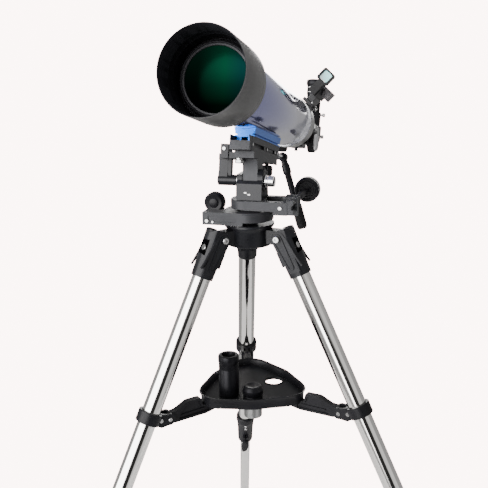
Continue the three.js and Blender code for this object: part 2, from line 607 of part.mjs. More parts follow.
function focusKnobs() {
  const wheel = (x0, x1, sign) => {
    const rim = rod('x', 21, x0, x1, [0, 0], ROUND);
    const face = sign > 0 ? rod('x', 18.5, x1 - 1, x1 + 5, [0, 0], ROUND, 16) : rod('x', 16, x0 - 5, x0 + 1, [0, 0], ROUND, 18.5);
    return join(rim, face);
  };
  return join(rod('x', 3.2, -26, 26, [0, 0], SMALL), wheel(24, 39, 1), wheel(-39, -24, -1));
}

// The star diagonal, in a frame centred on its prism: its eyepiece holder points up.
function diagonal() {
  const nose = rod('y', ACCESSORY_R, -52, -20, [0, 0], ROUND);
  const shoulder = rod('y', 19, DIAGONAL_S - COLLAR.s1 + GAP, -18, [0, 0], ROUND);
  const prism = outline([[-22, -20], [-22, 22], [22, 22], [22, -4], [6, -20]]);
  const housing = sidePlate(prism, -20, 20);
  const holder = rod('z', 20, 20, 52, [0, 0], ROUND);
  const holderBore = rod('z', ACCESSORY_R + GAP, 22, 60, [0, 0], ROUND);
  const lightPath = join(rod('y', 12.5, -60, 0, [0, 0], ROUND), rod('z', 12.5, 0, 40, [0, 0], ROUND));
  const screw = join(rod('x', 2.2, 18.5, 27, [0, 47], SMALL), rod('x', 4.2, 24, 30, [0, 47], SMALL));
  return cut(join(nose, shoulder, housing, holder, screw), cut(holderBore, box(-1, 1, -1, 1, 0, 1)), lightPath);
}

function eyepiece() {
  const r = ACCESSORY_R;
  return turned([[12, 24], [r, 24], [r, 52 + GAP], [17, 52 + GAP], [17, 78], [16, 80], [16, 92], [17, 94],
    [17, 112], [19, 115], [19.5, 125], [15, 127], [0, 123], [0, 108], [12, 108]], ROUND);
}

// ---------- finder ----------
// Its frame stands on the tube: Z points away from the tube's axis, -Y forwards.
const FINDER_Z0 = 52.4 + 22 + GAP;   // underside of the finder above the tube's axis

function finderBracket() {
  const r = 52.4;
  const shoe = box(-11, 11, 302, 366, r, r + 7);
  const stalk = box(-7, 7, 312, 356, r + 6, r + 22);
  const screw = join(rod('x', 2.2, 10, 17, [334, r + 3.5], SMALL), rod('x', 4.4, 14, 19, [334, r + 3.5], SMALL));
  return join(shoe, stalk, screw);
}

function roundedSquare(half, corner, z) {
  const shape = new THREE.Shape();
  shape.absarc(half - corner, z + half - corner, corner, 0, Math.PI / 2, false);
  shape.absarc(corner - half, z + half - corner, corner, Math.PI / 2, Math.PI, false);
  shape.absarc(corner - half, z - half + corner, corner, Math.PI, 1.5 * Math.PI, false);
  shape.absarc(half - corner, z - half + corner, corner, 1.5 * Math.PI, 2 * Math.PI, false);
  return shape;
}

function finderBody() {
  const base = box(-9, 9, 282, 356, FINDER_Z0, FINDER_Z0 + 14);
  const post = box(-8, 8, 272, 292, FINDER_Z0, FINDER_Z0 + 32);
  const rearBlock = box(-4, 22, 318, 350, FINDER_Z0 + 8, FINDER_Z0 + 28);
  const frame = plate(roundedSquare(13.2, 4.6, FINDER_Z0 + 41), 270, 281);
  const opening = plate(roundedSquare(9.6, 3.2, FINDER_Z0 + 41), 260, 300);
  return cut(join(base, post, rearBlock, frame), opening);
}

function finderGlass() {
  return plate(roundedSquare(9.3, 3.2, FINDER_Z0 + 41), 274, 276.5);
}

// ---------- assembly: tripod ----------
const tripod = frameAt(telescope, 0, 0, 0, { z: TRIPOD_TURN });
const splay = { sin: Math.sin(LEG_SPLAY), cos: Math.cos(LEG_SPLAY) };
const ARM_PIVOT_WORLD = {
  r: LEG_PIVOT_R + ARM_PIVOT_X * splay.cos - ARM_PIVOT_Z * splay.sin,
  z: ARM_PIVOT_X * splay.sin + ARM_PIVOT_Z * splay.cos,
};

piece(tripod, 'hub_casting', hubCasting(), 'casting');
for (const [side, angle] of LEGS) {
  const radial = frameAt(tripod, 0, 0, 0, { z: angle * degrees });
  const leg = frameAt(radial, LEG_PIVOT_R, 0, 0, { y: -LEG_SPLAY });
  piece(leg, `leg_casting_${side}`, legCasting(), 'casting');
  piece(leg, `leg_pivot_bolt_${side}`, pivotBolt(), 'chrome');
  piece(leg, `upper_leg_tube_${side}`, upperTube(), 'steel');
  piece(leg, `leg_lock_${side}`, lockCollar(), 'plastic');
  piece(leg, `lower_leg_tube_${side}`, lowerTube(), 'steel');
  piece(leg, `foot_${side}`, foot(), 'rubber');
  piece(leg, `spreader_clamp_${side}`, spreaderClamp(), 'plastic');
  const lever = frameAt(leg, LEG_OFFSET - 20.9, 0, LOCK_END + 10, { z: Math.PI });
  piece(lever, `lock_lever_${side}`, lockLever(), 'plastic');
  const armFrame = frameAt(radial, ARM_INNER_R, 0, ARM_PIVOT_WORLD.z);
  piece(armFrame, `spreader_arm_${side}`, spreaderArm(ARM_PIVOT_WORLD.r - ARM_INNER_R), 'plastic');
}
piece(tripod, 'accessory_tray', accessoryTray(), 'plastic');
piece(frameAt(tripod, BARLOW_AT.x, BARLOW_AT.y, TRAY_FLOOR), 'barlow_lens', barlowLens(), 'plastic');
piece(frameAt(tripod, SPARE_AT.x, SPARE_AT.y, TRAY_FLOOR), 'spare_eyepiece', spareEyepiece(), 'plastic');

// ---------- assembly: mount ----------
const mount = frameAt(telescope, 0, 0, 0, { z: MOUNT_TURN });
piece(mount, 'azimuth_base', azimuthBase(), 'castingGrey');
piece(frameAt(mount, LOCK_KNOB.x, LOCK_KNOB.y, LOCK_KNOB.z), 'azimuth_lock_knob', azimuthLockKnob(), 'plastic');
piece(mount, 'turntable', turntable(), 'castingGrey');
const screwFrame = frameAt(mount, SCREW.x, UPPER_DRUM.r, SCREW.z);
piece(screwFrame, 'slow_motion_screw', tangentScrew(), 'chrome');
piece(frameAt(screwFrame, 0, KNOB_AT, 0), 'slow_motion_knob', slowMotionKnob(), 'plastic');
piece(frameAt(mount, 0, 0, ALT_Z), 'column_fork', columnFork(), 'casting');
piece(frameAt(mount, 0, 0, ALT_Z), 'altitude_lock_knob', altitudeLockKnob(), 'chrome');

const tilt = frameAt(mount, 0, 0, ALT_Z, { x: -ELEVATION });
piece(tilt, 'tilt_head', tiltHead(), 'castingGrey');
piece(tilt, 'altitude_arm', altitudeArm(), 'castingGrey');
piece(frameAt(tilt, BOLT_AT.x, BOLT_AT.y, SADDLE.bottom), 'saddle_bolt', saddleBolt(), 'chrome');
piece(tilt, 'saddle_block', saddleBlock(), 'castingGrey');
piece(frameAt(tilt, 6, 96, SADDLE.bottom), 'saddle_knob', saddleKnob(), 'plastic');
piece(tilt, 'dovetail_bar', dovetailBar(), 'anodised');
const handle = frameAt(tilt, HANDLE_AT.x, HANDLE_AT.y, HANDLE_AT.z);
piece(handle, 'handle_shaft', handleShaft(), 'chrome');
piece(handle, 'handle_rod', handleRod(), 'plastic');
piece(handle, 'handle_grip', handleGrip(), 'rubber');

// ---------- assembly: telescope tube ----------
const optics = frameAt(tilt, 0, -TUBE_S0, TUBE_AXIS_H);
piece(optics, 'main_tube', mainTube(), 'blue');
piece(optics, 'dew_shield', dewShield(), 'satin');
piece(optics, 'lens_cell', lensCell(), 'satin');
piece(optics, 'objective_lens', objectiveLens(), 'glass');
piece(optics, 'rear_cell', rearCell(), 'silver');
piece(optics, 'focuser_body', focuserBody(), 'plastic');
piece(optics, 'drawtube', drawtube(), 'silver');
piece(frameAt(optics, 0, -FOCUS_AXIS.s, FOCUS_AXIS.v), 'focus_knobs', focusKnobs(), 'rubber');
const diagonalFrame = frameAt(optics, 0, -DIAGONAL_S, 0, { y: DIAGONAL_ROLL });
piece(diagonalFrame, 'star_diagonal', diagonal(), 'plastic');
piece(diagonalFrame, 'eyepiece', eyepiece(), 'plastic');
const finder = frameAt(optics, 0, 0, 0, { y: FINDER_ANGLE });
piece(finder, 'finder_bracket', finderBracket(), 'plastic');
piece(finder, 'finder_body', finderBody(), 'plastic');
piece(finder, 'finder_glass', finderGlass(), 'glass');

// ---------- origin: on the floor, under the middle of the object ----------
const extent = new THREE.Box3().setFromObject(telescope, true);
const middle = extent.getCenter(new THREE.Vector3());
telescope.position.set(-middle.x, -middle.y, -extent.min.z);

export default telescope;
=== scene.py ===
import json
import math
from math import cos, pi, radians, sin

import bpy
from mathutils import Matrix, Vector


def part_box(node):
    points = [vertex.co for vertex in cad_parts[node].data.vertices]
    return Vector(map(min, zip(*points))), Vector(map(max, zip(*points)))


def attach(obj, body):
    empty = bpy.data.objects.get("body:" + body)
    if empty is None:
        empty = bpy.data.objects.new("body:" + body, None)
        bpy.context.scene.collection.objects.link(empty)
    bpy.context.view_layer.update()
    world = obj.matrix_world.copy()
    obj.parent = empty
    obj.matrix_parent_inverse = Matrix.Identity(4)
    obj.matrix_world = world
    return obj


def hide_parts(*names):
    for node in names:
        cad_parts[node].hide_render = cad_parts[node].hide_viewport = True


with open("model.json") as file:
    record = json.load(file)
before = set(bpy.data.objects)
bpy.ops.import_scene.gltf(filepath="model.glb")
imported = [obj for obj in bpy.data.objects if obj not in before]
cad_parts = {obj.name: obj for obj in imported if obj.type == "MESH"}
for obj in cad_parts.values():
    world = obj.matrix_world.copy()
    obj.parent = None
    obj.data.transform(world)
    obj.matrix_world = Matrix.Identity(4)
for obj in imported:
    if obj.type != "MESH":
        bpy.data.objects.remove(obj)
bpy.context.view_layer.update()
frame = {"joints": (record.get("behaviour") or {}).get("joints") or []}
joints = {joint["name"]: joint for joint in frame["joints"]}
SIDES = ("rear", "left", "right")
MM = 0.001


def point(joint):
    return Vector(joints[joint]["pos_m"])


def axis(joint):
    return Vector(joints[joint]["axis"]).normalized()


def place(origin, x, y, z):
    """a frame in millimetres with its origin and axes in the object's own frame"""
    turn = Matrix((x, y, z)).transposed().to_4x4()
    return Matrix.Translation(origin) @ turn @ Matrix.Scale(MM, 4)


# ---------- camera ----------
# It stands in front of the mount and 0.31 m above the leg pivots, and looks slightly down.
# Places are in metres and turns in radians.
PIVOT_Z = point("leg_fold_rear").z
mount_axis = point("azimuth")
LENS_MM, SENSOR_MM = 56.417, 36.0
BACK, ABOVE = 1.27402, 0.31467
PITCH, YAW, ROLL = 0.25567, -0.00748, -0.01599
view_way = Vector((sin(YAW) * cos(PITCH), cos(YAW) * cos(PITCH), -sin(PITCH)))
level_right = Vector((cos(YAW), -sin(YAW), 0))
level_up = level_right.cross(view_way)
right = level_right * cos(ROLL) + level_up * sin(ROLL)
upward = level_up * cos(ROLL) - level_right * sin(ROLL)
camera = bpy.data.objects.new("camera", bpy.data.cameras.new("camera"))
camera.data.lens, camera.data.sensor_width = LENS_MM, SENSOR_MM
camera.data.clip_start, camera.data.clip_end = 0.05, 60
camera_turn = Matrix((right, upward, -view_way)).transposed().to_4x4()
camera.matrix_world = Matrix.Translation((mount_axis.x, -BACK + mount_axis.y, PIVOT_Z + ABOVE)) @ camera_turn
bpy.context.scene.collection.objects.link(camera)
bpy.context.scene.camera = camera

# ---------- tripod head ----------
# An aluminium casting painted black: a flange for the mount, a round body and three ears that
# the legs turn on. Its solids are joined and cut as a founder's pattern is.
UP = Vector((0, 0, 1))
leg_frames = {}
for side in SIDES:
    along = -axis(f"leg_extension_{side}")
    across = axis(f"leg_fold_{side}")
    leg_frames[side] = place(point(f"leg_fold_{side}"), across.cross(along), across, along)
rear_way = axis("leg_fold_rear").cross(UP)
tripod = place(Vector((mount_axis.x, mount_axis.y, PIVOT_Z)), rear_way.cross(UP), rear_way, UP)


class Form:
    """A closed solid in millimetres: + joins, - cuts and & keeps what two forms share."""

    def __init__(self, mesh):
        self.mesh = mesh

    def _with(self, other, operation):
        pair = []
        for form in (self, other):
            thing = bpy.data.objects.new("form", form.mesh)
            bpy.context.scene.collection.objects.link(thing)
            pair.append(thing)
        tool = pair[0].modifiers.new("join", "BOOLEAN")
        tool.operation, tool.solver, tool.object = operation, "MANIFOLD", pair[1]
        graph = bpy.context.evaluated_depsgraph_get()
        made = bpy.data.meshes.new_from_object(pair[0].evaluated_get(graph))
        for thing in pair:
            bpy.data.objects.remove(thing)
        if not made.polygons:
            raise ValueError("two forms could not be joined")
        return Form(made)

    def __add__(self, other):
        return self._with(other, "UNION")

    def __sub__(self, other):
        return self._with(other, "DIFFERENCE")

    def __and__(self, other):
        return self._with(other, "INTERSECT")

    def moved(self, matrix):
        mesh = self.mesh.copy()
        mesh.transform(matrix)
        return Form(mesh)


def solid(points, faces):
    mesh = bpy.data.meshes.new("solid")
    mesh.from_pydata(points, [], faces)
    volume = 0.0
    mesh.calc_loop_triangles()
    for triangle in mesh.loop_triangles:
        a, b, c = (mesh.vertices[i].co for i in triangle.vertices)
        volume += a.dot(b.cross(c))
    if volume < 0:
        mesh.flip_normals()
    return Form(mesh)


def lathed(profile, sides=64):
    """turned about Z from a closed profile of (radius, height)"""
    points, rings, faces = [], [], []
    for r, z in profile:
        if r < 1e-4:
            rings.append([len(points)] * sides)
            points.append((0, 0, z))
        else:
            rings.append(list(range(len(points), len(points) + sides)))
            points += [(r * cos(2 * pi * i / sides), r * sin(2 * pi * i / sides), z) for i in range(sides)]
    for ring, following in zip(rings, rings[1:] + rings[:1]):
        for i in range(sides):
            k = (i + 1) % sides
            face = [ring[i], ring[k], following[k], following[i]]
            face = [v for n, v in enumerate(face) if v not in face[:n]]
            if len(face) > 2:
                faces.append(face)
    return solid(points, faces)


AXES = {"x": Matrix.Rotation(pi / 2, 4, "Y"), "y": Matrix.Rotation(-pi / 2, 4, "X"), "z": Matrix.Identity(4)}


def rod(way, r, start, end, at=(0, 0), sides=48, r2=None, edge=0.0):
    """a cylinder or cone along an axis, with its edges eased by edge"""
    r2 = r if r2 is None else r2
    if edge:
        profile = [(0, start), (r - edge, start), (r, start + edge), (r2, end - edge), (r2 - edge, end),
                   (0, end)]
    else:
        profile = [(0, start), (r, start), (r2, end), (0, end)]
    u, v = at
    shift = {"x": (0, u, v), "y": (u, 0, v), "z": (u, v, 0)}[way]
    return lathed(profile, sides).moved(Matrix.Translation(shift) @ AXES[way])


def block(x0, x1, y0, y1, z0, z1):
    points = [(x, y, z) for x in (x0, x1) for y in (y0, y1) for z in (z0, z1)]
    return solid(points, [(0, 1, 3, 2), (4, 6, 7, 5), (0, 4, 5, 1), (2, 3, 7, 6), (0, 2, 6, 4), (1, 5, 7, 3)])


def arc(x, y, r, start, end, steps=14):
    """points on a round corner, angles in degrees"""
    turns = [radians(start + (end - start) * i / steps) for i in range(steps + 1)]
    return [(x + r * cos(t), y + r * sin(t)) for t in turns]


def plate(outline, start, end, way="y"):
    """an outline given a thickness: drawn in X and Z for y, in Y and Z for x, in X and Y for z"""
    def at(u, v, w):
        return {"y": (u, w, v), "x": (w, u, v), "z": (u, v, w)}[way]
    count = len(outline)
    points = [at(u, v, w) for w in (start, end) for u, v in outline]
    faces = [tuple(range(count - 1, -1, -1)), tuple(range(count, 2 * count))]
    faces += [(i, (i + 1) % count, (i + 1) % count + count, i + count) for i in range(count)]
    return solid(points, faces)


def total(forms):
    first, *rest = forms
    for form in rest:
        first = first + form
    return first


class Link:
    """A socket of a node tree that can be added, multiplied and so on."""

    def __init__(self, nodes, socket):
        self.nodes, self.socket = nodes, socket

    def _with(self, operation, a, b):
        return self.nodes.node("ShaderNodeMath", {"operation": operation}, {0: a, 1: b})

    def __add__(self, other):
        return self._with("ADD", self, other)

    def __radd__(self, other):
        return self._with("ADD", other, self)

    def __sub__(self, other):
        return self._with("SUBTRACT", self, other)

    def __rsub__(self, other):
        return self._with("SUBTRACT", other, self)

    def __mul__(self, other):
        return self._with("MULTIPLY", self, other)

    def __rmul__(self, other):
        return self._with("MULTIPLY", other, self)


class Nodes:
    """A node tree, filled by one method that sets each socket by value or by a Link."""

    def __init__(self, tree):
        self.tree = tree

    def fill(self, socket, value):
        if isinstance(value, Link):
            self.tree.links.new(value.socket, socket)
        elif socket.type == "RGBA" and len(value) == 3:
            socket.default_value = (*value, 1)
        else:
            socket.default_value = value

    def node(self, kind, settings, values, out=0):
        node = self.tree.nodes.new(kind)
        for name, value in settings.items():
            if name == "stops":
                while len(node.color_ramp.elements) < len(value):
                    node.color_ramp.elements.new(1)
                for element, (position, colour) in zip(node.color_ramp.elements, value):
                    element.position, element.color = position, (*colour, 1)
            else:
                setattr(node, name, value)
        for key, value in values.items():
            self.fill(node.inputs[key], value)
        return Link(self, node.outputs[out])


class Finish(Nodes):
    """A material with one Principled shader."""

    def __init__(self, name, **sockets):
        self.material = bpy.data.materials.new(name)
        self.material.use_nodes = True
        super().__init__(self.material.node_tree)
        self.shader = self.tree.nodes["Principled BSDF"]
        self.place = self.node("ShaderNodeTexCoord", {}, {}, "Object")
        self.set(**sockets)

    def set(self, **sockets):
        for name, value in sockets.items():
            self.fill(self.shader.inputs[name.replace("_", " ")], value)

    def noise(self, scale, detail=3):
        return self.node("ShaderNodeTexNoise", {}, {"Vector": self.place, "Scale": scale, "Detail": detail},
                         "Fac")

    def ramp(self, factor, *stops):
        return self.node("ShaderNodeValToRGB", {"stops": stops}, {"Fac": factor}, "Color")

    def bump(self, height, strength, distance=0.0004):
        return self.node("ShaderNodeBump", {}, {"Height": height, "Strength": strength,
                         "Distance": distance}, "Normal")


def cast_finish(name, dark, light, rough, grain=900, strength=0.35, sheen=0.15):
    """paint over a die casting: fine orange peel, with a little change in colour and gloss"""
    paint = Finish(name, Metallic=sheen, Specular_IOR_Level=0.18)
    cloud = paint.noise(28, 4)
    peel = paint.noise(grain, 2)
    paint.set(Base_Color=paint.ramp(cloud, (0.3, dark), (0.7, light)), Roughness=rough + 0.14 * cloud - 0.05,
              Normal=paint.bump(peel, strength, 0.0003))
    return paint


black_cast = cast_finish("black_casting_paint", (0.0046, 0.0046, 0.0058), (0.0095, 0.0100, 0.0120), 0.27)


def made(name, form, where, finish, body, nodes=(), edge=0.5, smooth=32, slot=None):
    """a finished piece: the form put in place, its edges eased, riding on its body"""
    mesh = form.mesh.copy()
    mesh.name = name
    mesh.transform(where)
    mesh.materials.clear()
    mesh.materials.append(finish.material)
    piece = bpy.data.objects.new(name, mesh)
    bpy.context.scene.collection.objects.link(piece)
    mesh.shade_smooth()
    mesh.set_sharp_from_angle(angle=radians(smooth))
    if edge:
        eased = piece.modifiers.new("eased edges", "BEVEL")
        eased.width, eased.segments, eased.limit_method = edge * MM, 2, "ANGLE"
        eased.angle_limit = radians(38)
        eased.harden_normals = True
    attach(piece, body)
    if nodes:
        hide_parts(*([nodes] if isinstance(nodes, str) else nodes))
    return piece


EAR_HALF, PIVOT_R, PIVOT_BORE = 11.3, 60, 4.3
head = lathed([(0, -18), (34.5, -18), (37.5, -17), (38.5, -14.6), (38.5, 9), (39.5, 12), (42.2, 15.8),
               (43, 17), (43, 20.6), (0, 20.6)], 128)
ear_side = [(18, -12)] + arc(PIVOT_R, 0, 12, -90, 90) + [(18, 12)]
THREE_WAYS = (90, 210, 330)
for turn in THREE_WAYS:
    ear = plate(ear_side, -EAR_HALF, EAR_HALF) - rod("y", PIVOT_BORE, -20, 20, (PIVOT_R, 0))
    head = head + ear.moved(Matrix.Rotation(radians(turn), 4, "Z"))
head = head + rod("z", 16, 18, 26.4)
made("hub_casting_body", head, tripod, black_cast, "tripod_head", "hub_casting", 0.8, slot="black_casting")

# ---------- leg castings ----------
# Each leg hangs in a black fork: two cheeks with a raised oblong and a crescent rib, a hood
# behind them with a window that shows the cross bolt, and a socket for the tube.
LEG_OFFSET, TUBE_R, CHEEK_IN, CHEEK_OUT, SOCKET_R = 5.9, 15.875, 11.6, 17.5, 18.8
SOCKET_TOP, SOCKET_END = -40, -71
bright_bolt = Finish("plated_bolt", Metallic=1.0, Roughness=0.2)
bright_bolt.set(Base_Color=bright_bolt.ramp(bright_bolt.noise(500, 2), (0.3, (0.30, 0.30, 0.30)),
                                            (0.7, (0.42, 0.42, 0.42))))


def strip(path, half, start, end):
    """a raised band that follows a path in X and Z"""
    left, right_side = [], []
    for i, (x, z) in enumerate(path):
        ahead = path[min(i + 1, len(path) - 1)]
        behind = path[max(i - 1, 0)]
        run = Vector((ahead[0] - behind[0], ahead[1] - behind[1])).normalized()
        width = half * (0.35 + 0.65 * sin(pi * min(max(i / (len(path) - 1), 0.08), 0.92)))
        left.append((x - run.y * width, z + run.x * width))
        right_side.append((x + run.y * width, z - run.x * width))
    return plate(left + right_side[::-1], start, end)


cheek_side = (arc(0, 0, 11, 175, 60) + [(17, 12), (17, SOCKET_END + 8), (-2, SOCKET_END + 8), (-4.6, -56),
                                        (-8, -42), (-10, -24), (-11, -8)])
hood_side = [(-20, SOCKET_END), (30, SOCKET_END), (30, -6), (27, 4), (21, 11), (14, 13), (3, 13), (3, -34),
             (-20, -42)]
hood = rod("z", SOCKET_R, SOCKET_END, 14, (LEG_OFFSET, 0), 72, 21.5) & plate(hood_side, -CHEEK_OUT, CHEEK_OUT)
cavity = total([block(-30, 22, -CHEEK_IN, CHEEK_IN, SOCKET_TOP + 4, 30),
                plate(arc(20, -14, 8, 0, 180) + arc(20, -27, 8, 180, 360), -11, 11)
                + block(22, 40, -11, 11, -33, -8),
                rod("z", TUBE_R + 0.3, SOCKET_END - 5, SOCKET_TOP, (LEG_OFFSET, 0), 72)])
fork = (plate(cheek_side, -CHEEK_OUT, CHEEK_OUT) + hood) - cavity
web_side = [(-14, -22), (-9, -20), (-9, -48), (-14, -48)]
fork = (fork + (plate(web_side, -12.6, 12.6) - rod("z", TUBE_R + 0.3, SOCKET_END - 5, SOCKET_TOP,
        (LEG_OFFSET, 0), 72)))
fork = fork - rod("y", PIVOT_BORE, -30, 30)
oblong = arc(0, 0, 8.6, 0, 180) + arc(3.4, -52, 5.6, 180, 360)
dish = arc(0, 0, 6.9, 0, 180) + arc(3.4, -51, 4.0, 180, 360)
rib_path = [(-9.5, 7), (-3, 11), (5, 10.5), (11, 5), (14.5, -6), (16.5, -20), (18.5, -34), (21, -46),
            (23.5, -56)]


def off_cheek(way, near, far):
    """the ends of a form that spans from near to far outside one cheek's face"""
    return sorted((way * (CHEEK_OUT + near), way * (CHEEK_OUT + far)))


for way in (1, -1):
    rim = plate(oblong, *off_cheek(way, -1, 1.6)) - plate(dish, *off_cheek(way, 0.3, 3))
    seat = rod("y", 6.9, *off_cheek(way, 0, 1.6), sides=40) - rod("y", PIVOT_BORE, -30, 30)
    fork = fork + rim + seat + strip(rib_path, 2.0, *off_cheek(way, -3, 1.2))
for side in SIDES:
    leg = leg_frames[side]
    made(f"leg_fork_{side}", fork, leg, black_cast, f"leg_{side}", f"leg_casting_{side}", 0.45, 40,
         "black_casting")
    cross = rod("y", 3.4, -11.6, 11.6, (15, -24)) + rod("x", 5.2, 20.6, 24.2, (0, -22), edge=0.6)
    cross = cross + total([rod("x", 2.9, -15.8, -13, (0, z), edge=0.6) for z in (-28, -39)])
    made(f"hood_bolt_{side}", cross, leg, bright_bolt, f"leg_{side}", edge=0, slot="chrome")
    reach = CHEEK_OUT + 1.9
    bolt = total([rod("y", 4, -reach - 1, reach + 1), rod("y", 5.6, reach, reach + 3.6, edge=0.9),
                  rod("y", 5.6, -reach - 3.6, -reach, edge=0.9)])
    bolt = (bolt - rod("y", 2.4, reach + 1.6, reach + 6, sides=6) - rod("y", 2.4, -reach - 6, -reach - 1.6,
            sides=6))
    made(f"pivot_bolt_{side}", bolt, leg, bright_bolt, "tripod_head", f"leg_pivot_bolt_{side}", 0,
         slot="chrome")

# ---------- leg tubes ----------
# Polished stainless tube, 31.75 mm outside above and 22 mm below, with drawn-in lines along it.
steel = Finish("polished_leg_steel", Base_Color=(0.70, 0.69, 0.675), Metallic=1.0)
drawn = steel.noise(420, 2)
steel.set(Roughness=0.07 + 0.06 * drawn, Normal=steel.bump(steel.noise(60, 3), 0.02, 0.0004))
LOWER_R, UPPER_END, LOWER_TOP, LOWER_END = 11, -585, -430, -920
for side in SIDES:
    leg = leg_frames[side]
    upper = lathed([(13.9, UPPER_END), (TUBE_R - 0.4, UPPER_END), (TUBE_R, UPPER_END + 0.6),
                    (TUBE_R, -40.3), (13.9, -40.3)], 96)
    lower = lathed([(9.2, LOWER_END), (LOWER_R, LOWER_END), (LOWER_R, LOWER_TOP), (9.2, LOWER_TOP)], 80)
    shift = Matrix.Translation((LEG_OFFSET, 0, 0))
    made(f"upper_tube_{side}", upper, leg @ shift, steel, f"leg_{side}", f"upper_leg_tube_{side}", 0,
         slot="polished_steel")
    made(f"lower_tube_{side}", lower, leg @ shift, steel, f"lower_leg_{side}", f"lower_leg_tube_{side}", 0,
         slot="polished_steel")

# ---------- leg locks and feet ----------
# A black nylon moulding at the end of each upper tube with two clamp bolts and a twist lever,
# and a rubber foot whose sole is cut level with the floor.
LOCK_TOP, LOCK_END, FOOT_TOP, FOOT_END = -556, -640, -900, -962
plastic = Finish("moulded_black_nylon", Specular_IOR_Level=0.12)
mould = plastic.noise(1300, 2)
plastic.set(Base_Color=plastic.ramp(plastic.noise(18, 3), (0.35, (0.0035, 0.0035, 0.0045)),
                                    (0.7, (0.0070, 0.0070, 0.0086))),
            Roughness=0.30 + 0.16 * plastic.noise(35, 4), Normal=plastic.bump(mould, 0.22, 0.0002))
rubber = Finish("matt_black_rubber", Base_Color=(0.0055, 0.0055, 0.006), Roughness=0.72,
                Specular_IOR_Level=0.2)
rubber.set(Normal=rubber.bump(rubber.noise(1600, 3), 0.35, 0.0003))
lock_lathe = [(TUBE_R + 0.3, LOCK_TOP), (19, LOCK_TOP), (20, LOCK_TOP - 1), (20.5, LOCK_TOP - 12),
              (20, LOCK_TOP - 15), (19, LOCK_TOP - 20), (17.6, UPPER_END - 12), (16.5, LOCK_END),
              (LOWER_R + 0.3, LOCK_END), (LOWER_R + 0.3, UPPER_END - 0.3), (TUBE_R + 0.3, UPPER_END - 0.3)]
lug = block(LEG_OFFSET - 25, LEG_OFFSET - 12, -6, 6, LOCK_END + 4, LOCK_END + 30)
lock = lathed(lock_lathe, 72).moved(Matrix.Translation((LEG_OFFSET, 0, 0))) + lug
lock = lock - block(LEG_OFFSET - 30, LEG_OFFSET - 13.4, -1.2, 1.2, LOCK_END - 1, LOCK_END + 34)
lock = lock - block(LEG_OFFSET - 27, LEG_OFFSET - 20.5, -8, 8, LOCK_END, LOCK_END + 23)
blade_side = (arc(0, 0, 7, 20, 160) + [(-9, -6), (-9.6, -16), (-8, -30), (-5, -31), (0, -29), (2.6, -26),
                                       (6.4, -14)])
lever = total([plate(blade_side, 0.3, 5, "x"), rod("x", 4, -0.1, 1), rod("x", 3.4, 4.5, 6.6, edge=0.5)])
foot_lathe = [(0, FOOT_END - 12), (16.4, FOOT_END - 12), (17, FOOT_END - 9), (17, FOOT_END + 10)]
for groove in range(5):
    top = FOOT_END + 14 + 5 * groove
    foot_lathe += [(16.4 - 0.4 * groove, top - 1), (15.4 - 0.4 * groove, top), (15.4 - 0.4 * groove, top + 2),
                   (16.2 - 0.4 * groove, top + 3)]
foot_lathe += [(14, FOOT_TOP - 1), (13.4, FOOT_TOP), (LOWER_R + 0.3, FOOT_TOP),
               (LOWER_R + 0.3, FOOT_TOP - 20.3), (0, FOOT_TOP - 20.3)]
foot_round = lathed(foot_lathe, 72).moved(Matrix.Translation((LEG_OFFSET, 0, 0)))
for side in SIDES:
    leg = leg_frames[side]
    made(f"lock_moulding_{side}", lock, leg, plastic, f"leg_{side}", f"leg_lock_{side}", 0.6,
         slot="black_plastic")
    heads = total([rod("x", 2.9, LEG_OFFSET - 20.4, LEG_OFFSET - 17.5, (0, LOCK_TOP - h),
                       edge=0.6) for h in (20, 29)])
    made(f"lock_bolts_{side}", heads, leg, bright_bolt, f"leg_{side}", edge=0, slot="chrome")
    inward = axis(f"leg_lever_{side}")
    down = axis(f"leg_extension_{side}")
    lever_frame = place(point(f"leg_lever_{side}"), inward, (-down).cross(inward), -down)
    made(f"twist_lever_{side}", lever, lever_frame, plastic, f"lever_{side}", f"lock_lever_{side}", 0.8,
         slot="black_plastic")
    splay = math.acos(-axis(f"leg_extension_{side}").z)
    ground = block(-60, 60, -60, 60, -60,
                   0).moved(Matrix.Translation((LEG_OFFSET, 0, FOOT_END)) @ Matrix.Rotation(splay, 4, "Y"))
    made(f"rubber_foot_{side}", foot_round - ground, leg, rubber, f"lower_leg_{side}", f"foot_{side}", 0,
         slot="black_rubber")

# ---------- spreader ----------
# Black mouldings: a band round each leg with a fork, and an arm with sunk panels on both sides.
CLAMP_Z, ARM_X, ARM_Z, ARM_T, ARM_END = -320, -28.8, -314.7, 12, 94.7
z0, z1 = CLAMP_Z - 10, CLAMP_Z + 10
band = lathed([(TUBE_R + 0.3, z0), (20.4, z0), (21, z0 + 0.8), (21, z1 - 0.8), (20.4, z1),
               (TUBE_R + 0.3, z1)], 72)
band = band.moved(Matrix.Translation((LEG_OFFSET, 0, 0)))
fork_side = ([(-6, z0), (-6, z1), (-13, z1 + 1.4), (-20, z1 + 2)] + arc(ARM_X, ARM_Z, 10, 60, 262)
             + [(-18, z0 - 2)])
leg_room = rod("z", TUBE_R + 0.3, z0 - 15, z1 + 15, (LEG_OFFSET, 0), 72)
clamp = band + (plate(fork_side, -11.5, 11.5) - block(-60, -10.5, -6.6, 6.6, z0 - 40, z1 + 40) - leg_room)
clamp_heads = total([rod("y", 3.6, *sorted((9 * s, 13.4 * s)), at, edge=0.7)
                     for s in (-1, 1) for at in ((-12.5, CLAMP_Z), (ARM_X, ARM_Z))])
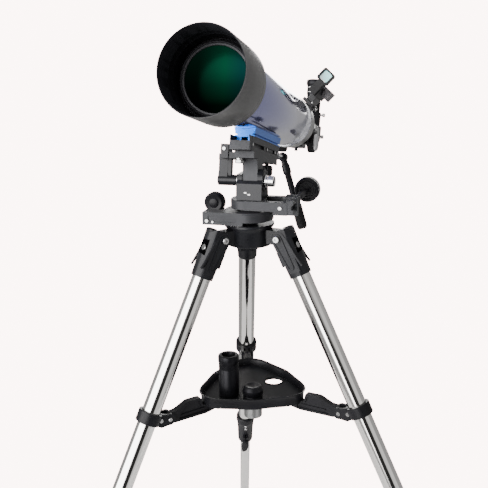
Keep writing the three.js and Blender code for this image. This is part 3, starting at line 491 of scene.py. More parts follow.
for side in SIDES:
    leg = leg_frames[side]
    made(f"leg_band_{side}", clamp, leg, plastic, f"leg_{side}", f"spreader_clamp_{side}", 0.6,
         slot="black_plastic")
    made(f"band_screws_{side}", clamp_heads, leg, bright_bolt, f"leg_{side}", edge=0, slot="chrome")
    across = axis(f"spreader_{side}")
    arm_frame = place(point(f"spreader_{side}"), across.cross(UP), across, UP)
    arm_side = (arc(0, 0, 6.4, 100, 260) + [(22, -11), (ARM_END - 12, -11.5), (ARM_END - 2, -8.5),
                                            (ARM_END + 3.5, -3), (ARM_END + 3.5, 4), (ARM_END - 3, 9),
                                            (84, 9.4), (78, 10.6), (66, 16.5), (60, 19.4), (56, 20.5),
                                            (33, 20.5), (31, 19), (29, 6.3)])
    panel = [(16, -7), (ARM_END - 20, -7.5), (ARM_END - 22, 4), (62, 12), (54, 16), (35, 16), (31, 4),
             (16, 3)]
    arm = plate(arm_side, -ARM_T / 2, ARM_T / 2) - plate(panel, 3.4, 8) - plate(panel, -8, -3.4)
    arm = (arm + plate([(24, -1.6), (ARM_END - 26, -2.6), (ARM_END - 26, -0.6), (24, 0.6)], -5.2, 5.2)
           - rod("y", 3.3, -10, 10))
    made(f"spreader_moulding_{side}", arm, arm_frame, plastic, f"arm_{side}", f"spreader_arm_{side}", 0.5,
         slot="black_plastic")

# ---------- accessory tray ----------
# One black moulding: a rounded triangle with a flared rim and a floor with three barrel holes.
TRAY_RIM, TRAY_FLOOR, TRAY_BOTTOM, HOLE_R, ARM_R = -273, -286, -293, 16.4, 76


def tray_outline(inset, steps=120):
    ring = []
    for i in range(steps):
        t = 2 * pi * i / steps
        bend = 3 * (t - pi / 2)
        r = 88 + 12 * cos(bend) + 3.1 * cos(2 * bend) - inset
        ring.append((r * cos(t), r * sin(t)))
    return ring


def lofted(levels):
    """a shell through rings of equal length at given heights, closed back on itself"""
    points = [(x, y, z) for ring, z in levels for x, y in ring]
    n, faces = len(levels[0][0]), []
    for k in range(len(levels)):
        for i in range(n):
            a, b = k * n, ((k + 1) % len(levels)) * n
            faces.append((a + i, a + (i + 1) % n, b + (i + 1) % n, b + i))
    return solid(points, faces)


wall = lofted([(tray_outline(3.5), TRAY_BOTTOM), (tray_outline(3.4), TRAY_FLOOR + 2),
               (tray_outline(2.6), TRAY_RIM - 5), (tray_outline(0.8), TRAY_RIM - 2.4),
               (tray_outline(0.1), TRAY_RIM - 1), (tray_outline(0.8), TRAY_RIM),
               (tray_outline(2.4), TRAY_RIM - 0.6), (tray_outline(4.6), TRAY_RIM - 3.4),
               (tray_outline(6), TRAY_FLOOR + 3), (tray_outline(6.2), TRAY_BOTTOM)])
tray = wall + plate(tray_outline(5), TRAY_FLOOR - 3, TRAY_FLOOR, "z")
seats = ((-41, -26.5), (0, -45), (42, 24.3))
for at in seats:
    collar = rod("z", HOLE_R + 2.4, TRAY_FLOOR - 5, TRAY_FLOOR + 0.8, at, 64)
    tray = (tray + collar) - rod("z", HOLE_R, TRAY_FLOOR - 10, TRAY_FLOOR + 5, at, 64)
hinge_z = (point("spreader_left").z - PIVOT_Z) / MM
for turn in THREE_WAYS:
    way = Matrix.Rotation(radians(turn), 4, "Z")
    gate = block(ARM_R - 12, 120, -6.8, 6.8, TRAY_BOTTOM - 5, TRAY_FLOOR - 3).moved(way)
    tray = tray - gate
    for s in (-1, 1):
        y = s * 9.3
        hinge_ear = (block(ARM_R - 7, ARM_R + 7, y - 2.5, y + 2.5, hinge_z, TRAY_FLOOR - 2)
                     + rod("y", 7, y - 2.5, y + 2.5, (ARM_R, hinge_z)))
        tray = tray + hinge_ear.moved(way)
    tray = tray + rod("y", 3, -10, 10, (ARM_R, hinge_z)).moved(way)
made("tray_moulding", tray, tripod, plastic, "tray", "accessory_tray", 0.3, 40, "black_plastic")

# ---------- accessories in the tray ----------
# A long Barlow lens and a short eyepiece, black anodised, with 1.25 inch barrels in the holes.
BARREL_R = 15.875
black_anodised = Finish("black_anodised_aluminium", Base_Color=(0.006, 0.006, 0.0075), Metallic=0.5,
                        Specular_IOR_Level=0.15)
black_anodised.set(Roughness=0.30 + 0.10 * black_anodised.noise(300, 2))
silver = Finish("satin_silver", Metallic=1.0)
turned_marks = silver.noise(500, 2)
silver.set(Base_Color=silver.ramp(turned_marks, (0.3, (0.26, 0.265, 0.265)), (0.7, (0.33, 0.335, 0.335))),
           Roughness=0.24 + 0.10 * turned_marks)


def standing(node, reach):
    """a frame on the tray's seat, which lies reach above the lower end of the node's barrel"""
    low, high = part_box(node)
    middle = (low + high) / 2
    return Matrix.Translation((middle.x, middle.y, low.z + reach * MM)) @ Matrix.Scale(MM, 4)


barlow_frame = standing("barlow_lens", 11)
spare_frame = standing("spare_eyepiece", 17)


def grip_rings(r, start, end, count, depth=0.6):
    """a ribbed grip: fine rings cut round a barrel"""
    rings, step = [], (end - start) / count
    for i in range(count):
        z = start + step * i
        rings += [(r - depth, z + 0.1 * step), (r, z + 0.3 * step), (r, z + 0.7 * step),
                  (r - depth, z + 0.9 * step)]
    return rings


barlow = lathed([(11, -11), (BARREL_R - 0.6, -11), (BARREL_R, -10), (BARREL_R, 0.3), (17.0, 0.3), (17.6, 1)]
                + [(17.6, 50)] + grip_rings(17.6, 51, 60, 4, 0.5) + [(17.6, 62), (18.4, 64), (18.4, 73.4),
                (17.6, 75.4), (16.6, 76), (12.6, 76), (12, 75), (12, 66), (11, 64)], 80)
barlow = barlow + rod("x", 2.6, -23, -16, (0, 40), edge=0.5)
made("barlow_barrel", barlow, barlow_frame, black_anodised, "barlow", "barlow_lens", 0, slot="black_plastic")
spare = lathed([(16.1, 0.3), (17, 0.3), (17, 5.6), (16.4, 6.6)] + grip_rings(16.9, 7, 10, 2, 0.7)
               + [(17.6, 10.4), (18, 11), (18, 17.4), (17.4, 18.2), (15.5, 22.6), (13.6, 24.8), (12.6, 25),
                  (9.5, 24), (0, 22), (0, 3)], 80)
made("spare_eyepiece_top", spare, spare_frame, black_anodised, "spare", "spare_eyepiece", 0,
     slot="black_plastic")
spare_barrel = lathed([(12.5, -32), (15.4, -32), (BARREL_R, -31.4), (BARREL_R, 0.2), (12.5, 0.2)], 80)
made("spare_eyepiece_barrel", spare_barrel, spare_frame, silver, "spare", slot="silver")

# ---------- azimuth base and turntable ----------
# Two dark grey castings on the hub: the base drum with a clamp arm to the left, and above it
# the turntable, whose arms hold the slow-motion screw.
mount_x = axis("altitude_lock")
mount_y = UP.cross(mount_x)
mount = place(Vector((mount_axis.x, mount_axis.y, PIVOT_Z)), mount_x, mount_y, UP)
grey_cast = cast_finish("grey_hammered_paint", (0.017, 0.0175, 0.0200), (0.028, 0.0288, 0.0318), 0.38, 1100,
                        0.5, 0.25)
KNOB = (-74.4, 41.3, 43.9)
SCREW = (76, 57)
drum = lathed([(0, 26.7), (41, 26.7), (42, 27.7), (42, 40.4), (41.2, 41.2), (41.2, 42.8), (40.4, 43.6),
               (0, 43.6)], 128)
left_arm = block(-70, 0, -42, -17, 22.2, 43.6)
beam = plate([(-66, -20), (-44, -18), (-62, 60), (-83, 60), (-71, 8)], 22.2, 30.7, "z")
clamp_lug = block(-83, -65, KNOB[1] + 10.3, 60, 22.2, KNOB[2] + 7)
base = total([drum, left_arm, beam, clamp_lug, block(20, 64, -7, 7, 35.7, 43.6),
              block(60, 85, -5, 5, 35.7, 66), rod("z", 20, 42, 46.3, sides=80)])
for tool in (rod("y", 6, -20, 20, SCREW), block(-60, -12, -43, -40.8, 27.7, 38.6),
             rod("y", 3.6, KNOB[1], 70, (KNOB[0], KNOB[2])),
             rod("y", 19.4, KNOB[1] - 11, KNOB[1] + 10.3, (KNOB[0], KNOB[2]), 72)):
    base = base - tool
made("azimuth_base_casting", base, mount, grey_cast, "base", "azimuth_base", 0.8, slot="grey_casting")
base_screws = rod("y", 3.4, -44, -41, (-62, 29), edge=0.7) + rod("y", 2.2, -43.4, -41, (-52, 27.5), edge=0.4)
made("arm_screws", base_screws, mount, bright_bolt, "base", edge=0, slot="chrome")

upper = lathed([(20.6, 46.6), (29.7, 46.6), (30.7, 47.6), (30.7, 61.4), (29.7, 62.4), (0, 62.4), (0, 49),
                (20.6, 49)], 112)
front_arm = block(0, 73, -30.7, -17.7, 46.6, 62.4) + block(50, 73, -30.7, -17.7, 40.8, 62.4)
rear_arm = block(0, 74, 19.7, 30.7, 49.6, 62.4) + block(60, 83, 20.7, 29.7, 45.6, 65.4)
end_lug = block(71, 83, -29.7, -18.7, 42.6, 65.4) - block(79.5, 90, -40, 0, 50, 58.5)
yoke = total([upper, front_arm, rear_arm, end_lug]) - rod("y", 4.6, -25.7, 60, SCREW)
yoke = yoke - rod("z", 20.6, 40, 48.9, sides=80)
made("turntable_casting", yoke, mount, grey_cast, "yoke", "turntable", 0.7, slot="grey_casting")
yoke_screws = rod("y", 3.6, -32.6, -30, (61, 53), edge=0.8) - rod("y", 1.6, -34, -31.4, (61, 53), sides=6)
made("yoke_screw", yoke_screws, mount, bright_bolt, "yoke", edge=0, slot="chrome")

# ---------- clamp and slow-motion knobs ----------
# Black moulded knobs: the azimuth clamp on the left, and the large ringed knob on the chrome
# screw that turns the mount slowly.
clamp_knob = (lathed([(0, -9.4), (7, -9.4), (8, -8.8), (9.2, -7.6), (12.6, -8.4), (14.6, -9), (17, -7.6),
                      (18.2, -5), (18.4, -2)] + grip_rings(18.4, -2, 6, 5, 0.4)
                     + [(18, 7), (15, 9.8), (0, 10)], 96) + rod("z", 3.2, 6, 20))
knob_frame = place(point("azimuth_lock"), mount_x, -UP, mount_y)
made("azimuth_clamp_knob", clamp_knob, knob_frame, plastic, "azimuth_clamp", "azimuth_lock_knob", 0, 40,
     "black_plastic")
KNOB_FACE = 84
screw_frame = place(point("slow_knob"), mount_x, -UP, mount_y)
shaft = total([rod("z", 4, -55, 30, sides=48, edge=0.6), rod("z", 7, 0.3, 4, sides=6, edge=0.5)])
made("tangent_screw", shaft, screw_frame, bright_bolt, "slow_motion", "slow_motion_screw", 0, slot="chrome")
sleeve = lathed([(4.05, 14), (5.2, 14), (5.6, 15), (5.6, KNOB_FACE - 4), (5.2, KNOB_FACE - 2.4),
                 (4.05, KNOB_FACE - 2.4)], 48)
made("screw_sleeve", sleeve, screw_frame, plastic, "slow_motion", edge=0, slot="black_plastic")
big = lathed([(0, 4), (4.3, 4), (4.3, -2.2), (7.6, -2.2), (8.4, -1.4), (8.6, 1.2), (11.4, 1.2),
              (11.8, -0.8), (13, -0.8), (13.4, 1.0), (15.6, 1.0), (16.2, -2), (17.4, -2.9), (19.6, -2.9),
              (21.2, -1.2), (22.3, 2.8)] + grip_rings(22.3, 3, 16, 8, 0.5) + [(22.0, 17), (20, 21.4),
             (18.6, 23), (0, 23)], 96)
made("slow_motion_knob_moulding", big, screw_frame @ Matrix.Translation((0, 0, KNOB_FACE)), plastic,
     "slow_motion", "slow_motion_knob", 0, 40, "black_plastic")
grey_rim = Finish("grey_satin_rim", Base_Color=(0.30, 0.30, 0.30), Roughness=0.4, Metallic=0.4)
made("slow_motion_knob_ring", lathed([(21.9, 5), (22.9, 5), (22.9, 16), (22.6, 17.4), (21.9, 17.4)], 96),
     screw_frame @ Matrix.Translation((0, 0, KNOB_FACE)), grey_rim, "slow_motion", edge=0, slot="silver")

# ---------- altitude column, tilting head and arm ----------
# A black fork stands on the turntable. The grey neck turns in it on the altitude axle, and the
# L-shaped arm with its barrel is clamped on the same axle, locked by a chrome knob.
tilt_y = -axis("dovetail_slide")
tilt_z = mount_x.cross(tilt_y)
altitude = point("altitude")
tilt = place(altitude, mount_x, tilt_y, tilt_z)
fork_frame = place(altitude, mount_x, mount_y, UP)
COLUMN_FOOT = 62.7 - 92
column_side = ([(-24, COLUMN_FOOT), (-22.6, -14), (-21, -2), (-16, 4), (-15, 12)]
               + arc(0, 0, 20, 140, 0, 24) + [(22, -12), (24, COLUMN_FOOT)])
column = plate(column_side, -16, 28, "x")
for tool in (rod("x", 16.5, -7.3, 19.3, sides=72), block(-7.3, 19.3, -17.2, 60, -9, 60),
             block(-7.3, 19.3, -60, 60, 4.6, 60), rod("x", 5, -40, 60), block(-17, -7, -40, 40, 13, 60)):
    column = column - tool
column = (column + rod("x", 17.5, 27.4, 29, sides=72, edge=0.7) - rod("x", 15.6, 28.3, 32, sides=72)
          - rod("x", 5, -40, 60))
made("column_fork_casting", column, fork_frame, black_cast, "yoke", "column_fork", 0.9, slot="black_casting")
marks = block(-1.5, 2.6, -24.4, -21, -17.8, -15.4) + block(4.6, 9, -24.6, -21, -20.6, -18.4)
index_white = Finish("white_index_paint", Base_Color=(0.75, 0.75, 0.74), Roughness=0.5)
made("index_marks", marks, fork_frame, index_white, "yoke", edge=0, slot="grey_casting")

neck_side = arc(0, 0, 14, 180, 360, 24) + [(16, 20), (22, 36), (-22, 36), (-15.5, 20)]
neck = total([plate(neck_side, -7, 19, "x"), block(-15, 18.5, -40, 121, 35, 46.1),
              block(-17, -14, -33, 90, 38, 46.1)])
neck = neck - rod("x", 5, -40, 60) - rod("z", 4.6, 30, 41, (-8, -33)) - block(-11, 16, 122 - 20, 123, 34, 37)
made("tilting_head_casting", neck, tilt, grey_cast, "cradle", "tilt_head", 0.8, slot="grey_casting")

barrel = lathed([(0, -53), (8.2, -53), (9.2, -52), (9.2, -20.6), (8.2, -19.4), (0, -19.4)],
                80).moved(AXES["x"])
elbow_arm = total([barrel, rod("x", 8, -22, -16.3, sides=72), block(-52, -36, -7.5, 7.5, 0, 44),
                   block(-38, -30, -5.5, 5.5, 6, 40), block(-41, -17.3, -31, 7.5, 34.5, 45),
                   block(-41, -28, -34, -8, 34.5, 58), rod("x", 4.7, -20, 31)])
elbow_arm = elbow_arm - block(-53, -35, -8.5, -5.9, 12, 34)
made("altitude_arm_casting", elbow_arm, tilt, black_cast, "cradle", "altitude_arm", 0.9, slot="grey_casting")
arm_bits = rod("y", 3.4, -36, -33.4, (-35, 50), edge=0.7)
made("bracket_screw", arm_bits, tilt, bright_bolt, "cradle", edge=0, slot="chrome")
made("barrel_ring", lathed([(7.9, -19.2), (9.9, -19.2), (10.2, -18.8), (10.2, -16.9), (9.9, -16.5),
                            (7.9, -16.5)], 80).moved(AXES["x"]), tilt, bright_bolt, "cradle", edge=0,
     slot="chrome")
chrome = Finish("bright_chrome", Base_Color=(0.86, 0.86, 0.87), Metallic=1.0, Roughness=0.06)
lock_knob = lathed([(5, 28.3), (10.4, 28.3), (11, 28.9), (11, 30.8), (10.4, 31.3), (8, 31.3), (8, 33.4),
                    (8.8, 34.2), (9.3, 35)] + grip_rings(9.3, 35, 42, 6, 0.25) + [(9.3, 43.4), (8.4, 45),
                   (6.8, 45), (6.4, 44.2), (0, 44.2), (0, 31.6), (5, 31.6)], 96)
lock_frame = place(point("altitude_lock"), -UP, mount_y, mount_x)
made("altitude_clamp_knob", lock_knob, lock_frame, chrome, "altitude_clamp", "altitude_lock_knob", 0, 40,
     "chrome")

# ---------- saddle and dovetail ----------
# A grey channel with a jaw slot and screws carries the blue anodised bar under the tube, and a
# knurled knob below clamps it.
SADDLE_TOP, SADDLE_MID = 70.4, 46.4
channel = block(-17, 17, -64, 139, SADDLE_MID, SADDLE_TOP)
groove = plate([(-14.4, SADDLE_TOP + 1), (-16, SADDLE_TOP - 9), (16, SADDLE_TOP - 9),
                (14.4, SADDLE_TOP + 1)], -69, 144)
channel = (channel - groove - block(12, 19, -38, 119, SADDLE_MID + 7, SADDLE_TOP - 10.5)
           - block(9, 19, -52, -50, SADDLE_MID - 1, 72))
channel = (channel + block(12, 16.4, 30, 44, SADDLE_MID + 7, SADDLE_TOP - 10.5) + block(12, 15.6, 62, 96,
           SADDLE_MID + 8, SADDLE_TOP - 11))
made("saddle_channel", channel, tilt, grey_cast, "cradle", "saddle_block", 0.7, slot="grey_casting")
jaw_screws = total([rod("x", 3, 14.6, 17.8, (y, SADDLE_MID + 10.2), edge=0.6) for y in (-44, 50, 108, 128)])
made("jaw_screws", jaw_screws, tilt, bright_bolt, "cradle", edge=0, slot="chrome")
bolt_frame = tilt @ Matrix.Translation((-8, -33, 35))
nut = total([rod("z", 4.2, -5, 5), rod("z", 6.6, -3.4, -0.3, edge=0.5), rod("z", 7.6, -8.6, -3.4, sides=6,
            edge=0.8)])
made("plate_clamp_bolt", nut, bolt_frame, bright_bolt, "cradle", "saddle_bolt", 0, slot="chrome")
saddle_frame = place(point("saddle_lock"), mount_x, tilt_y, tilt_z)
flutes = total([rod("z", 1.6, -19, -4, (11.2 * cos(2 * pi * i / 10), 11.2 * sin(2 * pi * i / 10)),
                    20) for i in range(10)])
fluted = (lathed([(0, -21), (7.6, -21), (9.6, -19.6), (10.5, -17.6), (10.5, -5.4), (9.4, -3.2), (7, -2),
                  (3.5, -2), (3.5, -0.3), (0, -0.3)], 80) - flutes)
made("saddle_clamp_knob", fluted, saddle_frame, plastic, "saddle_clamp", "saddle_knob", 0.3,
     slot="black_plastic")

blue_anodised = Finish("bright_blue_anodised", Metallic=0.75)
blue_anodised.set(Base_Color=blue_anodised.ramp(blue_anodised.noise(40, 2), (0.3, (0.010, 0.115, 0.50)),
                  (0.7, (0.016, 0.150, 0.60))), Roughness=0.26 + 0.08 * blue_anodised.noise(600, 2))
TUBE_OUT, TUBE_AXIS = 50.9, 133.9
bar_span = (-36, 143)
foot_outline = [(-15.2, SADDLE_TOP - 8.6), (-13.7, SADDLE_TOP + 0.8), (13.7, SADDLE_TOP + 0.8),
                (15.2, SADDLE_TOP - 8.6)]
cradle_outline = [(-17, SADDLE_TOP + 8), (-20, SADDLE_TOP + 21), (20, SADDLE_TOP + 21), (17, SADDLE_TOP + 8)]
bar = total([plate(foot_outline, *bar_span), block(-17, 17, *bar_span, SADDLE_TOP + 0.4, SADDLE_TOP + 9),
             plate(cradle_outline, *bar_span)])
for tool in (rod("y", TUBE_OUT + 0.3, -60, 160, (0, TUBE_AXIS), 128),
             block(-5.5, 5.5, -60, 160, SADDLE_TOP - 9, SADDLE_TOP - 1),
             block(13.2, 19, -60, 160, SADDLE_TOP + 2.6, SADDLE_TOP + 4.8),
             block(-19, -13.2, -60, 160, SADDLE_TOP + 2.6, SADDLE_TOP + 4.8)):
    bar = bar - tool
made("dovetail_rail", bar, tilt, blue_anodised, "tube", "dovetail_bar", 0.5, slot="blue_anodised")

# ---------- pan handle ----------
# A chrome shaft screwed into the saddle, a black elbow and rod with a collar, and a soft grip.
handle = place(point("pan_twist"), mount_x, tilt_y, tilt_z)
ELBOW, ROD_END, GRIP_END = Vector((0, 65, 0)), Vector((28, 68, -85)), Vector((45, 70, -137))


def along_line(form, start, end):
    turn = UP.rotation_difference(end - start).to_matrix().to_4x4()
    return form.moved(Matrix.Translation(start) @ turn)


made("handle_shaft_pin", rod("y", 4.4, 0.3, 56, sides=64, edge=0.6), handle, chrome, "pan_handle",
     "handle_shaft", 0, slot="chrome")
bar_length, grip_length = (ROD_END - ELBOW).length, (GRIP_END - ROD_END).length
elbow = lathed([(0, 56.3), (7.6, 56.3), (8.6, 57.4), (8.6, 70.4), (7.4, 72), (0, 72)], 72).moved(AXES["y"])
stem = lathed([(0, -2), (6.4, -2), (6.4, 14), (7.4, 16), (8, 18), (8, 31), (7.6, 32.4), (6.4, 34),
               (6.2, bar_length), (0, bar_length)], 64)
made("handle_elbow_and_rod", elbow + along_line(stem, ELBOW, ROD_END), handle, plastic, "pan_handle",
     "handle_rod", 0, 40, "black_plastic")
sleeve_grip = lathed([(0, 0.3), (7.0, 0.3), (8, 1.4), (9.6, 6)] + grip_rings(10.2, 8, 46, 14, 0.5)
                     + [(9.8, 48), (9, grip_length - 3), (6.4, grip_length - 0.4), (5, grip_length),
                        (0, grip_length)], 80)
made("handle_grip_sleeve", along_line(sleeve_grip, ROD_END, GRIP_END), handle, rubber, "pan_handle",
     "handle_grip", 0, 40, "black_rubber")

# ---------- telescope tube ----------
# A rolled aluminium tube in deep blue metallic lacquer under a clear coat. Lengths s run
# forward along its axis, so a turned profile is drawn as (radius, s).
DIAGONAL_S = -545
optics = place(point("diagonal_turn") + tilt_y * (DIAGONAL_S * MM), mount_x, tilt_y, tilt_z)
FORWARD = Matrix.Rotation(pi / 2, 4, "X")
TUBE_REAR, TUBE_FRONT = -288.7, 149.7


def on_tube(profile, sides=160):
    return lathed(profile, sides).moved(FORWARD)


lacquer = Finish("blue_metallic_lacquer", Metallic=0.9, Coat_Weight=1.0, Coat_Roughness=0.03, Roughness=0.16)
flake = lacquer.noise(2600, 1)
lacquer.set(Base_Color=lacquer.ramp(flake, (0.3, (0.185, 0.195, 0.44)), (0.7, (0.235, 0.245, 0.50))))
made("tube_skin", on_tube([(49.2, TUBE_REAR), (50.7, TUBE_REAR), (TUBE_OUT, TUBE_REAR + 0.4),
                           (TUBE_OUT, TUBE_FRONT - 0.4), (50.7, TUBE_FRONT), (49.2, TUBE_FRONT)], 720),
     optics, lacquer, "tube", "main_tube", 0, 40, "blue_paint")

# ---------- dew shield, lens cell and objective ----------
# The shield is satin dark outside and matt black with baffle rings inside. Behind them the
# cell, a satin black ring, holds the green-coated lens.
satin = Finish("satin_dark_paint", Metallic=0.75, Coat_Weight=0.15, Coat_Roughness=0.3)
satin.set(Base_Color=satin.ramp(satin.noise(30, 3), (0.3, (0.105, 0.105, 0.106)),
                                (0.7, (0.130, 0.130, 0.131))), Roughness=0.36 + 0.08 * satin.noise(900, 2),
          Normal=satin.bump(satin.noise(1500, 2), 0.12, 0.0002))
flat_black = Finish("matt_black_inside", Base_Color=(0.010, 0.0102, 0.0125), Roughness=0.7,
                    Specular_IOR_Level=0.1)
flat_black.set(Normal=flat_black.bump(flat_black.noise(1200, 2), 0.2, 0.0002))
SHIELD_R, BORE_R, SHIELD_REAR, SHIELD_FRONT = 64.7, 62.7, 128, 234.8
outer = on_tube([(58.4, SHIELD_REAR), (SHIELD_R - 1.6, SHIELD_REAR), (SHIELD_R - 0.5, SHIELD_REAR + 1.2),
                 (SHIELD_R - 0.3, 142), (SHIELD_R - 0.9, 142.6), (SHIELD_R - 0.9, 144.4), (SHIELD_R, 145.2),
                 (SHIELD_R, SHIELD_FRONT - 1.2), (SHIELD_R - 0.7, SHIELD_FRONT - 0.2),
                 (SHIELD_R - 1.0, SHIELD_FRONT), (SHIELD_R - 1.0, SHIELD_REAR + 3.4),
                 (58.4, SHIELD_REAR + 3.4)])
made("dew_shield_shell", outer, optics, satin, "shield", "dew_shield", 0, 40, "satin_black")
lining = [(SHIELD_R - 1.05, SHIELD_FRONT), (BORE_R + 0.5, SHIELD_FRONT), (BORE_R, SHIELD_FRONT - 1)]
for s in (196, 178):
    lining += [(BORE_R, s), (BORE_R - 0.5, s - 0.8), (BORE_R - 0.5, s - 1.6), (BORE_R, s - 2.4)]
lining += [(BORE_R, 155), (SHIELD_R - 1.05, 155)]
made("dew_shield_lining", on_tube(lining), optics, flat_black, "shield", edge=0, slot="satin_black")
cell = on_tube([(51.2, 112), (56.4, 112), (57, 112.6), (58, 114), (58, 141.7), (62.2, 141.8), (62.2, 150),
                (60, 152), (58, 153.6), (58, 162), (57.4, 163), (55, 166.6), (54.4, 168), (53.8, 168.4),
                (52.6, 167.6), (52.2, 166.8), (51.4, 167.8), (48.8, 167.8), (48.2, 167), (48.2, 165.6),
                (51.2, 165.6)])
ring_black = Finish("satin_black_ring", Base_Color=(0.022, 0.022, 0.025), Roughness=0.42, Metallic=0.3,
                    Specular_IOR_Level=0.2)
ring_black.set(Normal=ring_black.bump(ring_black.noise(1500, 2), 0.12, 0.0002))
made("lens_cell_ring", cell, optics, ring_black, "tube", "lens_cell", 0, 40, "satin_black")
made("cell_skirt", on_tube([(58.1, 152.6), (61.4, 152.6), (61.4, 154), (59.6, 154.6), (59.6, 158.4),
                            (58.1, 158.4)]), optics, flat_black, "tube", edge=0, slot="satin_black")

# The lens colour is painted light: a painted reflection tint that turns from green to teal across the glass,
# painted shade that darkens it towards the bottom, and a painted glow from its emission.
lens_painted_light = Finish("green_objective_painted_light", Roughness=0.22, Metallic=1.0, Emission_Strength=1.0)
lens_middle, LENS_REACH = optics @ Vector((0, -160, 0)), 0.048


def far_along(finish, middle, way):
    """how far a point of the surface lies from middle along way, times way's length"""
    offset = finish.node("ShaderNodeMapping", {}, {"Vector": finish.place, "Location": -middle})
    return finish.node("ShaderNodeVectorMath", {"operation": "DOT_PRODUCT"}, {0: offset, 1: way}, "Value")


def multiplied(finish, one, other):
    mode = {"data_type": "RGBA", "blend_type": "MULTIPLY"}
    return finish.node("ShaderNodeMix", mode, {0: 1.0, 6: one, 7: other}, 2)


height = far_along(lens_painted_light, lens_middle, tilt_z / LENS_REACH)
sideways = far_along(lens_painted_light, lens_middle, mount_x / LENS_REACH)
# painted reflection across the lens, then painted shade that is darkest at the bottom and brightest at the
# top
painted_reflection_tint = lens_painted_light.ramp(sideways * 0.5 + 0.5, (0.20, (0.0003, 0.0030, 0.0018)),
                           (0.62, (0.0003, 0.0100, 0.0048)), (0.88, (0.0004, 0.0072, 0.0066)))
painted_lens_shade = lens_painted_light.ramp(height * 0.5 + 0.5, (0.12, (0.03, 0.03, 0.03)), (0.42, (0.28, 0.28, 0.28)),
                    (0.62, (0.62, 0.62, 0.62)), (0.88, (1, 1, 1)))
painted_lens_colour = multiplied(lens_painted_light, painted_reflection_tint, painted_lens_shade)
lens_painted_light.set(Base_Color=painted_lens_colour, Emission_Color=multiplied(lens_painted_light, painted_lens_colour, (3, 3, 3, 1)))
glass_front = [(50.9, 150.4), (50.9, 161), (48.1, 161.7)]
glass_front += [(48.1 * cos(radians(a)), 161.7 + 3.5 * (1 - cos(radians(a)) ** 2)) for a in range(15, 90, 15)]
lens = on_tube(glass_front + [(0, 165.2), (0, 148.4), (35, 149.6)], 160)
made("objective_glass", lens, optics, lens_painted_light, "tube", "objective_lens", 0, 40, "coated_glass")

# ---------- rear cell and focuser ----------
# A silver cone closes the tube. The black focuser body behind it carries the wheels, the
# drawtube with its clamp collar, and the star diagonal with the eyepiece.
CELL_END, FOCUSER_END, DRAW_R, COLLAR_R = -378, -432, 21, 28
rear = on_tube([(30, -262), (48.9, -262), (48.9, -289), (51.4, -289), (52, -289.6), (52, -305.4),
                (51.4, -306.2), (50.2, -307), (50, -308), (50, -330), (48.6, -335), (40, -366),
                (38.6, -372), (37, CELL_END), (30, CELL_END)])
made("rear_cell_cone", rear, optics, silver, "tube", "rear_cell", 0, 40, "silver")
cell_band = on_tube([(36.2, -378.2), (39.6, -372.4), (40.6, -372.4), (40.6, -377.6), (39.8, -378.8),
                     (36.2, -378.8)])
made("rear_cell_band", cell_band, optics, rubber, "tube", edge=0, slot="black_rubber")
WHEEL_S, WHEEL_V = -405, -31.5
focuser = on_tube([(DRAW_R + 0.3, -330), (29.7, -330), (29.7, -378.3), (35, -378.3), (35.5, -378.8),
                   (35.5, -382.6), (35, -383), (25.4, -383.4), (24.6, -384.2), (24.6, -430.4),
                   (24, FOCUSER_END), (DRAW_R + 0.3, FOCUSER_END)], 112)
pinion_housing = (block(-15, 15, -WHEEL_S - 20, -WHEEL_S + 20, WHEEL_V - 11, WHEEL_V + 8)
                  - rod("y", DRAW_R + 0.3, 300, 500, sides=96))
focuser = (focuser + pinion_housing + rod("z", 3.4, WHEEL_V - 19, WHEEL_V - 9, (0, -WHEEL_S - 9))
           - rod("x", 3.6, -30, 30, (-WHEEL_S, WHEEL_V)))
made("focuser_casting", focuser, optics, black_cast, "tube", "focuser_body", 0.5, slot="black_plastic")
draw = on_tube([(19, -300), (DRAW_R, -300), (DRAW_R, -485), (26.6, -485), (27.6, -486), (28, -487)]
               + [(r, -s) for r, s in grip_rings(28, 489, 497, 4, 0.5)] + [(28, -509), (27, -511),
               (25.4, -512), (16.2, -512), (16.2, -487), (19, -487)], 112)
made("drawtube_and_collar", draw, optics, silver, "draw", "drawtube", 0, 40, "silver")
collar_screw = rod("x", 2.2, 24, 34, (499, -9)) + rod("x", 4.2, 33, 39, (499, -9), edge=0.6)
made("collar_thumbscrew", collar_screw, optics, bright_bolt, "draw", edge=0, slot="chrome")
wheel_frame = place(point("focus_wheel"), -tilt_z, tilt_y, mount_x)
pale_cap = Finish("pale_grey_cap", Base_Color=(0.42, 0.42, 0.43), Roughness=0.3, Metallic=0.6)
wheels, caps = rod("z", 3.2, -26, 26), None
for s in (1, -1):
    tread = lathed([(0, 24), (18.6, 24), (20.2, 24.8)] + grip_rings(21, 25, 38, 9, 0.6)
                   + [(20.2, 38.6), (19.6, 39), (0, 39)], 96)
    cap = lathed([(0, 38.9), (18.5, 38.9), (18.4, 39.4), (17, 42.6), (15.4, 43.9), (0, 44)], 96)
    flip = Matrix.Identity(4) if s > 0 else Matrix.Rotation(pi, 4, "X")
    wheels = wheels + tread.moved(flip)
    caps = cap.moved(flip) if caps is None else caps + cap.moved(flip)
made("focus_wheel_rubber", wheels, wheel_frame, rubber, "focus_wheels", "focus_knobs", 0, 40, "black_rubber")
made("focus_wheel_caps", caps, wheel_frame, pale_cap, "focus_wheels", edge=0, slot="silver")

